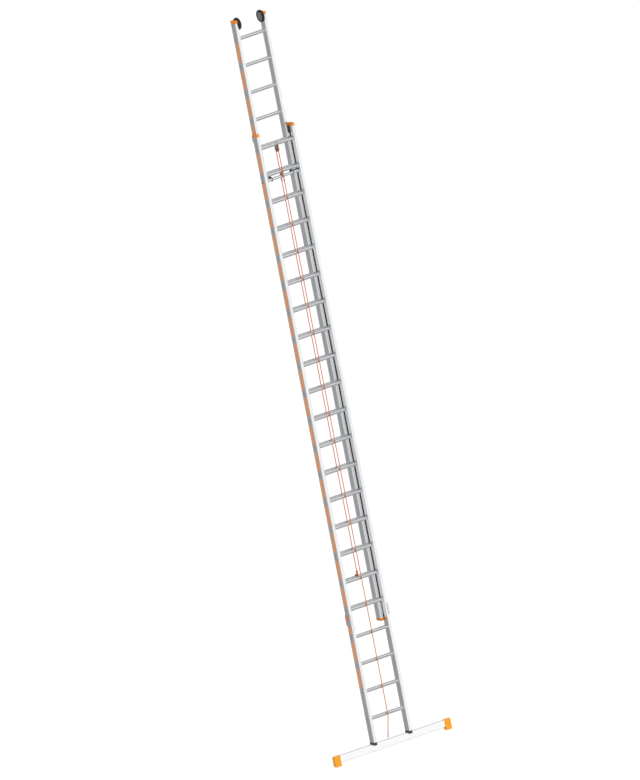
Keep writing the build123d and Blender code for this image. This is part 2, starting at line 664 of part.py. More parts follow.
def catch_pad(name, hand):
    """Plastic boot on a hook: shoe on the nose, and the buffer that the fly's rungs pass when it is clear."""
    top = HOOK_HALF + CATCH_PAD_SKIN
    sole_low = -HOOK_HALF - CATCH_PAD_SOLE
    tilt = NOSE_TILT + CATCH_SWING
    outline = [turned(r, h, tilt) for r, h in
               ((CATCH_PAD_FROM, sole_low), (NOSE_REACH, sole_low), (NOSE_REACH, top), (CATCH_PAD_FROM, top))]
    slot = [turned(r, h, tilt) for r, h in
            ((CATCH_PAD_FROM - 1, -HOOK_HALF), (NOSE_REACH + 1, -HOOK_HALF),
             (NOSE_REACH + 1, HOOK_HALF), (CATCH_PAD_FROM - 1, HOOK_HALF))]
    buffer = [(BUFFER_FRONT, BUFFER_LOW), (BUFFER_REAR, BUFFER_LOW), (BUFFER_REAR, BUFFER_HIGH),
              (BUFFER_SHOULDER, BUFFER_HIGH), (BUFFER_FRONT, BUFFER_ROOT)]
    mortise = [(BUFFER_FRONT - 1, 0), (TONGUE_REACH, 0), (TONGUE_REACH, TONGUE_HIGH),
               (BUFFER_FRONT - 1, TONGUE_HIGH)]
    width = CATCH_PAD_WIDTH
    with BuildPart() as pad:
        with BuildSketch(side(hand * HOOK_X - width / 2)):
            for shape in (outline, buffer):
                with BuildLine():
                    Polyline(*[(CATCH_DEPTH + n, CATCH_U + u) for n, u in shape], close=True)
                make_face()
        extrude(amount=width)
        with BuildSketch(side(hand * HOOK_X - HOOK_SHEET / 2)):
            for shape in (slot, mortise):
                with BuildLine():
                    Polyline(*[(CATCH_DEPTH + n, CATCH_U + u) for n, u in shape], close=True)
                make_face()
        extrude(amount=HOOK_SHEET, mode=Mode.SUBTRACT)
    save(pad, name)


os.makedirs("parts", exist_ok=True)

# Places of the rivets, as (n, u): on the base stiles' inner faces and on the fly stiles' outer faces
TOP_RIVETS = [(n, TOP_GUIDE_U + u)
              for n in (TOP_GUIDE_FROM + RIVET_EDGE, RUNG_DEPTH)
              for u in (RIVET_EDGE, TOP_GUIDE_HEIGHT - RIVET_EDGE)]
BOTTOM_RIVETS = [(FLY_SETBACK + n, FLY_BOTTOM + BOTTOM_GUIDE_FROM + u)
                 for n in (BOTTOM_FLANGE_REAR / 2, BOTTOM_FLANGE_REAR - RIVET_EDGE)
                 for u in (RIVET_EDGE, BOTTOM_GUIDE_HEIGHT - RIVET_EDGE)]
TOP_RIVET_HOLES = [(n, u, RIVET_R, STILE_WIDTH - STILE_WALL, STILE_WALL) for n, u in TOP_RIVETS]
BOTTOM_RIVET_HOLES = [(n, u, RIVET_R, 0, STILE_WALL) for n, u in BOTTOM_RIVETS]
SHAFT_HOLE = [(CATCH_DEPTH, CATCH_U, CATCH_SHAFT_R, 0, STILE_WIDTH)]
ROLLER_HOLE = [(ROLLER_N, ROLLER_U, ROLLER_BOLT_R, 0, STILE_WIDTH)]

# Base section: stiles, caps, shoes and anchors, left and right
for word, hand in HANDS:
    stile(f"base_stile_{word}", hand, BASE_WIDTH / 2, 0, SHOE_FLANGE, stile_end(BASE_TOP, 1), BASE_RUNGS,
          TOP_RIVET_HOLES + SHAFT_HOLE, BASE_WIDTH / 2)
    end_cap(f"base_top_cap_{word}", hand, BASE_WIDTH / 2, 0, BASE_TOP, 1)
    shoe(f"base_shoe_{word}", hand)
    anchor(f"stile_anchor_{word}", hand)
    foot_cap(f"foot_cap_{word}", hand)
    top_guide(f"top_guide_{word}", hand)
    top_pad(f"top_guide_pad_{word}", hand)

rung_set("base_rungs", BASE_WIDTH / 2, RUNG_DEPTH, BASE_RUNGS[:-2])
rung_set("base_rung_catch", BASE_WIDTH / 2, RUNG_DEPTH, BASE_RUNGS[-2:-1])
rung_set("base_rung_pulley", BASE_WIDTH / 2, RUNG_DEPTH, BASE_RUNGS[-1:])
rivets("top_guide_rivets", [(hand * (BASE_INNER - SHEET), -hand, SHEET + STILE_WALL, n, u)
                            for _, hand in HANDS for n, u in TOP_RIVETS])

# Crossbar: box tube that ends inside the foot caps, drilled for the two bolts
bar_half = BAR_LENGTH / 2 - FOOT_WIDTH + FOOT_POCKET
bolt_x = BASE_WIDTH / 2 - STILE_WIDTH / 2
with BuildPart() as crossbar:
    with BuildSketch(side(-bar_half)):
        with Locations((BAR_CENTRE, -BAR_HEIGHT / 2)):
            RectangleRounded(BAR_DEPTH, BAR_HEIGHT, BAR_WALL)
            RectangleRounded(BAR_DEPTH - 2 * BAR_WALL, BAR_HEIGHT - 2 * BAR_WALL, 1.0, mode=Mode.SUBTRACT)
    extrude(amount=2 * bar_half)
    with BuildSketch(section(-BAR_HEIGHT)):
        with Locations((-bolt_x, BAR_CENTRE), (bolt_x, BAR_CENTRE)):
            Circle(BAR_BOLT_R)
    extrude(amount=BAR_HEIGHT, mode=Mode.SUBTRACT)
save(crossbar, "crossbar")

# Bolts up through the crossbar into the anchors
with BuildPart() as crossbar_bolts:
    with BuildSketch(section(-BAR_HEIGHT)):
        with Locations((-bolt_x, BAR_CENTRE), (bolt_x, BAR_CENTRE)):
            RegularPolygon(BAR_BOLT_HEAD_R, 6)
    extrude(amount=-BAR_BOLT_HEAD)
    with BuildSketch(section(-BAR_HEIGHT)):
        with Locations((-bolt_x, BAR_CENTRE), (bolt_x, BAR_CENTRE)):
            Circle(BAR_BOLT_R)
    extrude(amount=BAR_HEIGHT + SHOE_FLANGE + PLUG_DEPTH + ANCHOR_HEIGHT)
save(crossbar_bolts, "crossbar_bolts")

# Fly section: stiles, caps, bottom guides, rollers, left and right
for word, hand in HANDS:
    stile(f"fly_stile_{word}", hand, FLY_WIDTH / 2, FLY_SETBACK, stile_end(FLY_BOTTOM, -1),
          stile_end(FLY_TOP, 1), FLY_RUNGS, BOTTOM_RIVET_HOLES + ROLLER_HOLE, FLY_INNER)
    end_cap(f"fly_top_cap_{word}", hand, FLY_WIDTH / 2, FLY_SETBACK, FLY_TOP, 1)
    end_cap(f"fly_bottom_cap_{word}", hand, FLY_WIDTH / 2, FLY_SETBACK, FLY_BOTTOM, -1)
    bottom_guide(f"bottom_guide_{word}", hand)
    bottom_pads(f"bottom_guide_pads_{word}", hand)
    roller_tyre(f"roller_tyre_{word}", hand)
    roller_hub(f"roller_hub_{word}", hand)
    roller_bolt(f"roller_bolt_{word}", hand)

rung_set("fly_rungs", FLY_WIDTH / 2, FLY_SETBACK + RUNG_DEPTH, FLY_RUNGS[:1] + FLY_RUNGS[2:])
rung_set("fly_rung_hoist", FLY_WIDTH / 2, FLY_SETBACK + RUNG_DEPTH, [HITCH_U])
rivets("bottom_guide_rivets", [(hand * (FLY_WIDTH / 2 + SHEET), hand, SHEET + STILE_WALL, n, u)
                               for _, hand in HANDS for n, u in BOTTOM_RIVETS])
roller_fasteners("roller_washers", FLY_INNER, ROLLER_WASHER, False)
roller_fasteners("roller_nuts", FLY_INNER - ROLLER_WASHER - 2 * PLAY - ROLLER_WIDTH, ROLLER_HEAD, True)

# Pulley: band round the top base rung, cheeks, axle and sheave
with BuildPart() as pulley_band:
    with BuildSketch(side(-BAND_WIDTH / 2)):
        with rung_places(RUNG_DEPTH, BASE_RUNGS[-1:]):
            RectangleRounded(RUNG + 2 * BAND, RUNG + 2 * BAND, RUNG_CORNER + BAND)
            RectangleRounded(RUNG, RUNG, RUNG_CORNER, mode=Mode.SUBTRACT)
    extrude(amount=BAND_WIDTH)
save(pulley_band, "pulley_band")

for word, hand in HANDS:
    cheek(f"pulley_cheek_{word}", hand)

axle_half = SHEAVE_WIDTH / 2 + CHEEK_GAP + CHEEK
with BuildPart() as pulley_axle:
    with BuildSketch(side(-axle_half)):
        with Locations((SHEAVE_N, SHEAVE_U)):
            Circle(SHEAVE_AXLE_R)
    extrude(amount=2 * axle_half)
    for end in (-1, 1):
        with BuildSketch(side(end * axle_half)):
            with Locations((SHEAVE_N, SHEAVE_U)):
                Circle(AXLE_HEAD_R)
        extrude(amount=end * AXLE_HEAD)
save(pulley_axle, "pulley_axle")

groove_r = ROPE_R + PLAY
half_sheave = SHEAVE_WIDTH / 2
bore_r = SHEAVE_AXLE_R + RUNNING_FIT
with BuildPart() as pulley_sheave:
    with BuildSketch(along_x(SHEAVE_N, SHEAVE_U)):
        with BuildLine():
            Polyline((-groove_r, SHEAVE_PITCH_R), (-groove_r, SHEAVE_FLANGE_R),
                     (-half_sheave, SHEAVE_FLANGE_R), (-half_sheave, bore_r), (half_sheave, bore_r),
                     (half_sheave, SHEAVE_FLANGE_R), (groove_r, SHEAVE_FLANGE_R), (groove_r, SHEAVE_PITCH_R))
            ThreePointArc((groove_r, SHEAVE_PITCH_R), (0, SHEAVE_PITCH_R - groove_r),
                          (-groove_r, SHEAVE_PITCH_R))
        make_face()
    revolve(axis=Axis(point(0, SHEAVE_N, SHEAVE_U), ACROSS))
save(pulley_sheave, "pulley_sheave")

# Catch: fixed shaft, spacers and nuts on the base, bushed tube with two hooks that turns on the shaft
shaft_half = BASE_WIDTH / 2 + CATCH_NUT
with BuildPart() as catch_shaft:
    with BuildSketch(side(-shaft_half)):
        with Locations((CATCH_DEPTH, CATCH_U)):
            Circle(CATCH_SHAFT_R)
    extrude(amount=2 * shaft_half)
save(catch_shaft, "catch_shaft")

with BuildPart() as catch_spacers:
    for _, hand in HANDS:
        with BuildSketch(side(hand * BASE_INNER)):
            with Locations((CATCH_DEPTH, CATCH_U)):
                Circle(CATCH_TUBE_R)
                Circle(CATCH_SHAFT_R, mode=Mode.SUBTRACT)
        extrude(amount=-hand * (BASE_INNER - CATCH_TUBE_HALF - PLAY))
save(catch_spacers, "catch_spacers")

with BuildPart() as catch_nuts:
    for _, hand in HANDS:
        with BuildSketch(side(hand * BASE_WIDTH / 2)):
            with Locations((CATCH_DEPTH, CATCH_U)):
                RegularPolygon(CATCH_NUT_R, 6)
                Circle(CATCH_SHAFT_R, mode=Mode.SUBTRACT)
        extrude(amount=hand * CATCH_NUT)
save(catch_nuts, "catch_nuts")

with BuildPart() as catch_tube:
    with BuildSketch(side(-CATCH_TUBE_HALF)):
        with Locations((CATCH_DEPTH, CATCH_U)):
            Circle(CATCH_TUBE_R)
            Circle(CATCH_TUBE_R - CATCH_TUBE_WALL, mode=Mode.SUBTRACT)
    extrude(amount=2 * CATCH_TUBE_HALF)
    for end in (-1, 1):
        with BuildSketch(side(end * CATCH_TUBE_HALF)):
            with Locations((CATCH_DEPTH, CATCH_U)):
                Circle(CATCH_TUBE_R)
                Circle(CATCH_SHAFT_R + RUNNING_FIT, mode=Mode.SUBTRACT)
        extrude(amount=-end * CATCH_BUSH)
save(catch_tube, "catch_tube")

for word, hand in HANDS:
    hook(f"catch_hook_{word}", hand)
    catch_pad(f"catch_pad_{word}", hand)

# Rope: free strand down the rungs and plumb at its tail, turn over the sheave, hoist strand, hitch
tail_start = BASE_RUNGS[0] - TAIL_BEND_BELOW_RUNG
tail_end = (FREE_N + TAIL_LENGTH * cos(LEAN), tail_start - TAIL_LENGTH * sin(LEAN))
with BuildPart() as rope_free_strand:
    with BuildLine(side(0)) as free_path:
        FilletPolyline((FREE_N, SHEAVE_U), (FREE_N, tail_start), tail_end, radius=TAIL_BEND_R)
    with BuildSketch(section(SHEAVE_U)):
        with Locations((0, FREE_N)):
            Circle(ROPE_R)
    sweep(path=free_path.wires()[0])
save(rope_free_strand, "rope_free_strand")

with BuildPart() as rope_sheave_turn:
    with BuildSketch(section(SHEAVE_U)):
        with Locations((0, FREE_N)):
            Circle(ROPE_R)
    revolve(axis=Axis(point(0, SHEAVE_N, SHEAVE_U), -ACROSS), revolution_arc=180)
save(rope_sheave_turn, "rope_sheave_turn")

with BuildPart() as rope_hoist_strand:
    with BuildLine(side(0)) as hoist_path:
        Line((HOIST_N, SHEAVE_U - HOIST_GAP), (HITCH_N, KNOT_TOP + HOIST_GAP))
    with BuildSketch(Plane(origin=hoist_path.line @ 0, z_dir=hoist_path.line % 0)):
        Circle(ROPE_R)
    sweep(path=hoist_path.line)
save(rope_hoist_strand, "rope_hoist_strand")

loop_out = RUNG_DEPTH - FREE_N
loop_rear = FLY_SETBACK + RUNG_DEPTH + loop_out
knot_low = KNOT_TOP - KNOT_LENGTH
knot_side = HITCH_N + KNOT_R
knot_shoulder = knot_side - KNOT_ROUND
with BuildPart() as rope_hitch:
    with BuildLine(side(0)) as loop_path:
        FilletPolyline((HITCH_N, HITCH_U + loop_out), (loop_rear, HITCH_U + loop_out),
                       (loop_rear, HITCH_U - loop_out), (HITCH_N, HITCH_U - loop_out),
                       radius=2 * ROPE_R, close=True)
    loop = loop_path.wires()[0]
    with BuildSketch(Plane(origin=loop @ 0, z_dir=loop % 0)):
        Circle(ROPE_R)
    sweep(path=loop)
    with BuildSketch(section(HITCH_U)):
        with Locations((0, HITCH_N)):
            Circle(ROPE_R)
    extrude(amount=KNOT_ABOVE_RUNG)
    with BuildSketch(side(0)):
        with BuildLine():
            Polyline((HITCH_N, KNOT_TOP), (HITCH_N, knot_low), (knot_shoulder, knot_low))
            RadiusArc((knot_shoulder, knot_low), (knot_side, knot_low + KNOT_ROUND), -KNOT_ROUND)
            Line((knot_side, knot_low + KNOT_ROUND), (knot_side, KNOT_TOP - KNOT_ROUND))
            RadiusArc((knot_side, KNOT_TOP - KNOT_ROUND), (knot_shoulder, KNOT_TOP), -KNOT_ROUND)
            Line((knot_shoulder, KNOT_TOP), (HITCH_N, KNOT_TOP))
        make_face()
    revolve(axis=Axis(point(0, HITCH_N, KNOT_TOP), ALONG))
save(rope_hitch, "rope_hitch")

# Rope guide: two eyes on a web, with a saddle under the catch's rung
eye_top = CATCH_RUNG - RUNG_REACH - GUIDE_FLANGE
saddle_height = CATCH_RUNG - GUIDE_SADDLE - eye_top
hoist_slope = (HITCH_N - HOIST_N) / (SHEAVE_U - KNOT_TOP)
rear_eye = HOIST_N + hoist_slope * (SHEAVE_U - eye_top + GUIDE_LENGTH / 2)
with BuildPart() as rope_guide:
    with BuildSketch(section(eye_top)):
        with Locations((0, FREE_N), (0, rear_eye)):
            Circle(GUIDE_EYE_R)
    extrude(amount=-GUIDE_LENGTH)
    with BuildSketch(section(eye_top)):
        with Locations((0, (FREE_N + rear_eye) / 2)):
            Rectangle(GUIDE_THICKNESS, rear_eye - FREE_N)
    extrude(amount=-GUIDE_WEB)
    with BuildSketch(side(-GUIDE_FLANGE_HALF)):
        with Locations((RUNG_DEPTH, eye_top + saddle_height / 2)):
            Rectangle(GUIDE_FLANGE_DEPTH, saddle_height)
        with rung_places(RUNG_DEPTH, [CATCH_RUNG]):
            RectangleRounded(RUNG, RUNG, RUNG_CORNER, mode=Mode.SUBTRACT)
    extrude(amount=2 * GUIDE_FLANGE_HALF)
    with BuildSketch(section(eye_top + GUIDE_FLANGE)):
        with Locations((0, FREE_N), (0, rear_eye)):
            Circle(GUIDE_EYE_BORE)
    extrude(amount=-GUIDE_LENGTH - GUIDE_FLANGE - 1, mode=Mode.SUBTRACT)
save(rope_guide, "rope_guide")

rope_lengths = [SHEAVE_U - tail_start, TAIL_LENGTH, pi * SHEAVE_PITCH_R, SHEAVE_U - KNOT_TOP]
free_section = pi * ROPE_R ** 2 * free_path.wires()[0].length
print(f"free strand: bend radius {TAIL_BEND_R} mm")
print(f"free strand: volume {rope_free_strand.part.volume:.0f}, expected {free_section:.0f} mm3")
print(f"rope from hitch to tail: {sum(rope_lengths) / 1000:.2f} m")
print(f"origin of the leaning axes: {ORIGIN[1]:.3f}, {ORIGIN[2]:.3f}")
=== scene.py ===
"""Looks of the rope extension ladder: finishes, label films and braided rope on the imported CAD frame.

Metres, +Z up, +X along the rungs to the climber's right, +Y towards the wall. Pieces are placed in the
ladder's own leaning axes: x across, n rearwards from the base section's front, u up along the stiles.
"""
import json
import logging
import math
from dataclasses import dataclass
from enum import Enum

import bpy
import numpy as np
from mathutils import Matrix, Vector


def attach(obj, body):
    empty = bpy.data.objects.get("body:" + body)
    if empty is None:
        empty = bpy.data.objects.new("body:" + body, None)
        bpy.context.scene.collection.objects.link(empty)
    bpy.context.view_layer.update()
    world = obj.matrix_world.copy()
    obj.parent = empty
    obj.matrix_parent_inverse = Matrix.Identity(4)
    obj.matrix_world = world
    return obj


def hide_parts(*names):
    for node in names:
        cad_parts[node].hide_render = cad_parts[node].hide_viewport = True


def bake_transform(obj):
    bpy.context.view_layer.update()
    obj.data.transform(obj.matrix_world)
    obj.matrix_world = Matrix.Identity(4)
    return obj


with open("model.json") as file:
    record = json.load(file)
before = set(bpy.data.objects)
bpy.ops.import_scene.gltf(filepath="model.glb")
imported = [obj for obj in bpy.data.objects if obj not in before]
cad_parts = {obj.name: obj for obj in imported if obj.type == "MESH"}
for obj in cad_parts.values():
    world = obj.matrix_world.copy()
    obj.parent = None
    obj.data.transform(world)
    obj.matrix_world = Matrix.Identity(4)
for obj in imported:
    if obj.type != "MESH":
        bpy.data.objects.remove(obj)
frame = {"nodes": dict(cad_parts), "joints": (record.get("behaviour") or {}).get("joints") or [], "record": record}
LOG = logging.getLogger("ladder")
MM = 0.001
WHITE = (1.0, 1.0, 1.0, 1.0)

# Sizes of the CAD ladder that the new pieces are placed by
RUNG_PITCH = 280 * MM
FIRST_RUNG = 256 * MM
RUNG_COUNT = 22
RUNGS_RAISED = 4
RUNG = 32 * MM
RUNG_CORNER = 10 * MM
STILE_DEPTH = 80 * MM
BASE_HALF_WIDTH = 228 * MM
FLY_HALF_WIDTH = 187 * MM
FLY_SETBACK = 63.5 * MM
GUIDE_STANDS_OUT = 6.8 * MM
GUIDE_FILM_HEIGHT = 1298 * MM
SHEAVE_RADIUS = 23 * MM
SHEAVE_BELOW_RUNG = 54 * MM
ROPE_RADIUS = 4.5 * MM
ROPE_REST = 0.2 * MM

# Places that follow from them
TOP_RUNG = FIRST_RUNG + (RUNG_COUNT - 1) * RUNG_PITCH
FLY_FIRST_RUNG = FIRST_RUNG + RUNGS_RAISED * RUNG_PITCH
FLY_RUNG_N = FLY_SETBACK + STILE_DEPTH / 2
SHEAVE_U = TOP_RUNG - SHEAVE_BELOW_RUNG

# The rope's braid, in its mesh and its colour, and the splines that it follows
ROPE_STARTS = 4
SPLINE_ORDER = 3
SPLINE_STEPS = 32


class Body(Enum):
    """The CAD bodies that new pieces ride on."""

    BASE = "base_section"
    FLY = "fly_section"


class Run(Enum):
    """The direction in which an extrusion was drawn, so that its die lines run that way."""

    ALONG_LADDER = "along"
    ACROSS_LADDER = "across"


@dataclass(frozen=True)
class Lean:
    """The ladder's leaning axes in the shared frame."""

    origin: np.ndarray
    across: np.ndarray
    rear: np.ndarray
    along: np.ndarray

    @classmethod
    def from_joints(cls, joints: list[dict]) -> "Lean":
        """Read the lean off the fly's slide and the origin off the sheave's axle.

        Args:
            joints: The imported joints.
        Returns:
            The leaning axes.
        """
        by_name = {joint["name"]: joint for joint in joints}
        along = np.array(by_name["fly_slide"]["axis"], float)
        along /= np.linalg.norm(along)
        across = np.array((1.0, 0.0, 0.0))
        rear = np.cross(along, across)
        axle = np.array(by_name["sheave_turn"]["pos_m"], float)
        # The same axes through the frame's origin give the axle's place without the offset sought
        bare = cls(np.zeros(3), across, rear, along)
        return cls(axle - bare.at(0.0, bare.sheave_n, SHEAVE_U), across, rear, along)

    def at(self, x: np.ndarray, n: np.ndarray, u: np.ndarray) -> np.ndarray:
        """Points of the shared frame for leaning coordinates of any matching shapes.

        Args:
            x: Across the ladder.
            n: Rearwards from the base section's front.
            u: Up along the stiles.
        Returns:
            An array of the common shape with a last axis of three.
        """
        x, n, u = np.broadcast_arrays(*(np.asarray(v, float) for v in (x, n, u)))
        return (self.origin + x[..., None] * self.across + n[..., None] * self.rear
                + u[..., None] * self.along)

    @property
    def tilt(self) -> float:
        """Angle between the ladder and the vertical, in radians."""
        return math.atan2(self.along[1], self.along[2])

    @property
    def rope_reach(self) -> float:
        """Distance from a rung's middle to the rope's where the rope lies against the level, rounded rung."""
        half = (RUNG / 2 - RUNG_CORNER) * (math.cos(self.tilt) + math.sin(self.tilt)) + RUNG_CORNER
        return half + ROPE_RADIUS + ROPE_REST

    @property
    def free_n(self) -> float:
        """Depth of the free strand, in front of the base's rungs."""
        return STILE_DEPTH / 2 - self.rope_reach

    @property
    def sheave_n(self) -> float:
        """Depth of the sheave's axle, one radius behind the free strand."""
        return self.free_n + SHEAVE_RADIUS

    @property
    def hitch_n(self) -> float:
        """Depth of the hoist strand's lower end, in front of the fly's rung."""
        return FLY_RUNG_N - self.rope_reach


def linear(colour: str) -> tuple[float, float, float, float]:
    """Linear RGBA of an sRGB hex colour.

    Args:
        colour: Six hex digits, such as "c8102e".
    Returns:
        Red, green, blue and an alpha of 1.
    """
    srgb = np.array([int(colour[i:i + 2], 16) for i in (0, 2, 4)]) / 255
    value = np.where(srgb <= 0.04045, srgb / 12.92, ((srgb + 0.055) / 1.055) ** 2.4)
    return (*map(float, value), 1.0)


def add(tree: bpy.types.NodeTree, kind: str, inputs: dict | None = None, **settings) -> bpy.types.Node:
    """Add a node, set its properties, then link or set its inputs.

    Args:
        tree: The node tree.
        kind: The node's type name.
        inputs: Socket name or index to another node's output, or to a plain value.
        settings: Properties of the node.
    Returns:
        The node.
    """
    node = tree.nodes.new(kind)
    for key, value in settings.items():
        setattr(node, key, value)
    for key, value in (inputs or {}).items():
        if isinstance(value, bpy.types.NodeSocket):
            tree.links.new(value, node.inputs[key])
        else:
            node.inputs[key].default_value = value
    return node


def noise(tree: bpy.types.NodeTree, grain: tuple[float, float, float], tilt: float = 0.0,
          detail: float = 2.0) -> bpy.types.NodeSocket:
    """Noise whose features have real sizes along the ladder's axes.

    Args:
        tree: The node tree.
        grain: Size of a feature across, in depth and along, in metres.
        tilt: Turn about X that lays the last direction along the ladder.
        detail: Octaves of finer noise.
    Returns:
        The noise's value, about 0.5 on average.
    """
    coords = add(tree, "ShaderNodeTexCoord")
    laid = add(tree, "ShaderNodeMapping", {"Vector": coords.outputs["Object"], "Rotation": (-tilt, 0, 0),
                                           "Scale": grain}, vector_type="TEXTURE")
    field = add(tree, "ShaderNodeTexNoise", {"Vector": laid.outputs[0], "Scale": 1.0, "Detail": detail})
    return field.outputs[0]


def spread(tree: bpy.types.NodeTree, value: bpy.types.NodeSocket, low: float, high: float,
           start: float = 0.3, end: float = 0.7) -> bpy.types.NodeSocket:
    """Map a value from start..end to low..high.

    Args:
        tree: The node tree.
        value: The value to map.
        low: Result at start.
        high: Result at end.
        start: Where the result is low.
        end: Where the result is high.
    Returns:
        The mapped value.
    """
    node = add(tree, "ShaderNodeMapRange", {"Value": value, "From Min": start, "From Max": end,
                                            "To Min": low, "To Max": high})
    return node.outputs[0]


def blend(tree: bpy.types.NodeTree, factor: bpy.types.NodeSocket, low: bpy.types.NodeSocket | float,
          high: bpy.types.NodeSocket | float) -> bpy.types.NodeSocket:
    """Mix two values by a factor from 0 to 1.

    Args:
        tree: The node tree.
        factor: The share of the second value.
        low: Value at 0.
        high: Value at 1.
    Returns:
        The mixed value.
    """
    # A mix node's sockets repeat their names, so they go by number: 2 and 3 are its plain values
    return add(tree, "ShaderNodeMix", {0: factor, 2: low, 3: high}).outputs[0]


def mix_colours(tree: bpy.types.NodeTree, factor: bpy.types.NodeSocket,
                low: bpy.types.NodeSocket | tuple[float, ...],
                high: bpy.types.NodeSocket | tuple[float, ...]) -> bpy.types.NodeSocket:
    """Mix two colours by a factor from 0 to 1.

    Args:
        tree: The node tree.
        factor: The share of the second colour.
        low: Colour at 0, linear RGBA or another node's.
        high: Colour at 1, likewise.
    Returns:
        The colour.
    """
    # Sockets 6 and 7 of a mix node are its colours, and its third output is the mixed colour
    return add(tree, "ShaderNodeMix", {0: factor, 6: low, 7: high}, data_type="RGBA").outputs[2]


def tint(tree: bpy.types.NodeTree, factor: bpy.types.NodeSocket, low: str, high: str) -> bpy.types.NodeSocket:
    """Mix two hex colours by a factor from 0 to 1.

    Args:
        tree: The node tree.
        factor: The share of the second colour.
        low: Colour at 0.
        high: Colour at 1.
    Returns:
        The colour.
    """
    return mix_colours(tree, factor, linear(low), linear(high))


@dataclass(frozen=True)
class Finish:
    """A procedural material. Subclasses say what it shows the eye; colour and second are its two colours."""

    name: str
    colour: str
    second: str
    roughness: float
    tilt: float

    def shade(self, tree: bpy.types.NodeTree, shader: bpy.types.Node) -> None:
        """Add the material's own nodes to its shader."""
        raise NotImplementedError

    def material(self) -> bpy.types.Material:
        """The material, made once."""
        made = bpy.data.materials.get(self.name)
        if made is None:
            made = bpy.data.materials.new(self.name)
            made.use_nodes = True
            tree = made.node_tree
            shader = tree.nodes["Principled BSDF"]
            shader.inputs["Roughness"].default_value = self.roughness
            self.shade(tree, shader)
        return made

    def link(self, tree: bpy.types.NodeTree, shader: bpy.types.Node, **sockets: bpy.types.NodeSocket) -> None:
        """Link values to the shader's sockets.

        Args:
            tree: The node tree.
            shader: The material's shader.
            sockets: Socket name, with _ for a space, to the value that it takes.
        """
        for name, value in sockets.items():
            tree.links.new(value, shader.inputs[name.replace("_", " ")])

    def relief(self, tree: bpy.types.NodeTree, height: bpy.types.NodeSocket, depth: float,
               strength: float) -> bpy.types.NodeSocket:
        """A bump normal.

        Args:
            tree: The node tree.
            height: Height from 0 to 1.
            depth: Real depth of the relief, in metres.
            strength: Share of the bump that shows.
        Returns:
            The normal.
        """
        return add(tree, "ShaderNodeBump", {"Height": height, "Distance": depth,
                                            "Strength": strength}).outputs[0]


@dataclass(frozen=True)
class ExtrudedAluminium(Finish):
    """Mill-finish aluminium: satin sheen with die lines along the extrusion and a faint oxide cloud."""

    run: Run = Run.ALONG_LADDER
    line: float = 2.5 * MM
    streak: float = 900 * MM
    line_depth: float = 0.15 * MM
    line_strength: float = 0.12
    line_detail: float = 3.0
    satin_range: float = 0.05
    cloud: float = 90 * MM
    cloud_stretch: float = 4.0

    def shade(self, tree: bpy.types.NodeTree, shader: bpy.types.Node) -> None:
        """Die lines in roughness and bump, a slow cloud in colour."""
        shader.inputs["Metallic"].default_value = 1.0
        lines = (self.line, self.line, self.streak)
        if self.run is Run.ACROSS_LADDER:
            lines = lines[::-1]
        drawn = noise(tree, lines, self.tilt, self.line_detail)
        cloud = noise(tree, (self.cloud, self.cloud, self.cloud_stretch * self.cloud), self.tilt)
        self.link(tree, shader, Base_Color=tint(tree, spread(tree, cloud, 0, 1), self.colour, self.second),
                  Roughness=spread(tree, drawn, self.roughness - self.satin_range,
                                   self.roughness + self.satin_range),
                  Normal=self.relief(tree, drawn, self.line_depth, self.line_strength))


@dataclass(frozen=True)
class MouldedPlastic(Finish):
    """Injection-moulded polypropylene or nylon: spark-eroded grain, slight flow marks, soft highlights."""

    grain: float = 0.9 * MM
    grain_depth: float = 0.1 * MM
    grain_strength: float = 0.25
    flow: float = 25 * MM
    flow_polish: float = 0.05
    flow_dulling: float = 0.06

    def shade(self, tree: bpy.types.NodeTree, shader: bpy.types.Node) -> None:
        """Fine grain in bump, slow flow marks in colour and roughness."""
        grain = noise(tree, (self.grain,) * 3)
        flow = noise(tree, (self.flow,) * 3)
        self.link(tree, shader, Base_Color=tint(tree, spread(tree, flow, 0, 1), self.colour, self.second),
                  Roughness=spread(tree, flow, self.roughness - self.flow_polish,
                                   self.roughness + self.flow_dulling),
                  Normal=self.relief(tree, grain, self.grain_depth, self.grain_strength))


@dataclass(frozen=True)
class PlatedSteel(Finish):
    """Zinc-plated steel: greyer than the aluminium and a little blue, with fine plating mottle."""

    mottle: float = 3 * MM
    mottle_depth: float = 0.05 * MM
    mottle_strength: float = 0.2
    mottle_detail: float = 4.0
    mottle_range: float = 0.08

    def shade(self, tree: bpy.types.NodeTree, shader: bpy.types.Node) -> None:
        """Plating mottle in colour and roughness, a faint bump."""
        shader.inputs["Metallic"].default_value = 1.0
        mottle = noise(tree, (self.mottle,) * 3, detail=self.mottle_detail)
        self.link(tree, shader, Base_Color=tint(tree, spread(tree, mottle, 0, 1), self.colour, self.second),
                  Roughness=spread(tree, mottle, self.roughness - self.mottle_range,
                                   self.roughness + self.mottle_range),
                  Normal=self.relief(tree, mottle, self.mottle_depth, self.mottle_strength))


@dataclass(frozen=True)
class StoveCoat(Finish):
    """Brown stove coating on pressed steel: orange-peel skin with a few worn, lighter spots."""

    peel: float = 1.6 * MM
    peel_depth: float = 0.08 * MM
    peel_strength: float = 0.3
    wear: float = 14 * MM
    wear_detail: float = 6.0
    worn: tuple[float, float] = (0.55, 0.7)
    wear_dulling: float = 0.2

    def shade(self, tree: bpy.types.NodeTree, shader: bpy.types.Node) -> None:
        """Orange peel in bump, wear in colour and roughness."""
        peel = noise(tree, (self.peel,) * 3)
        wear = spread(tree, noise(tree, (self.wear,) * 3, detail=self.wear_detail), 0, 1, *self.worn)
        self.link(tree, shader, Base_Color=tint(tree, wear, self.colour, self.second),
                  Roughness=spread(tree, wear, self.roughness, self.roughness + self.wear_dulling, 0, 1),
                  Normal=self.relief(tree, peel, self.peel_depth, self.peel_strength))


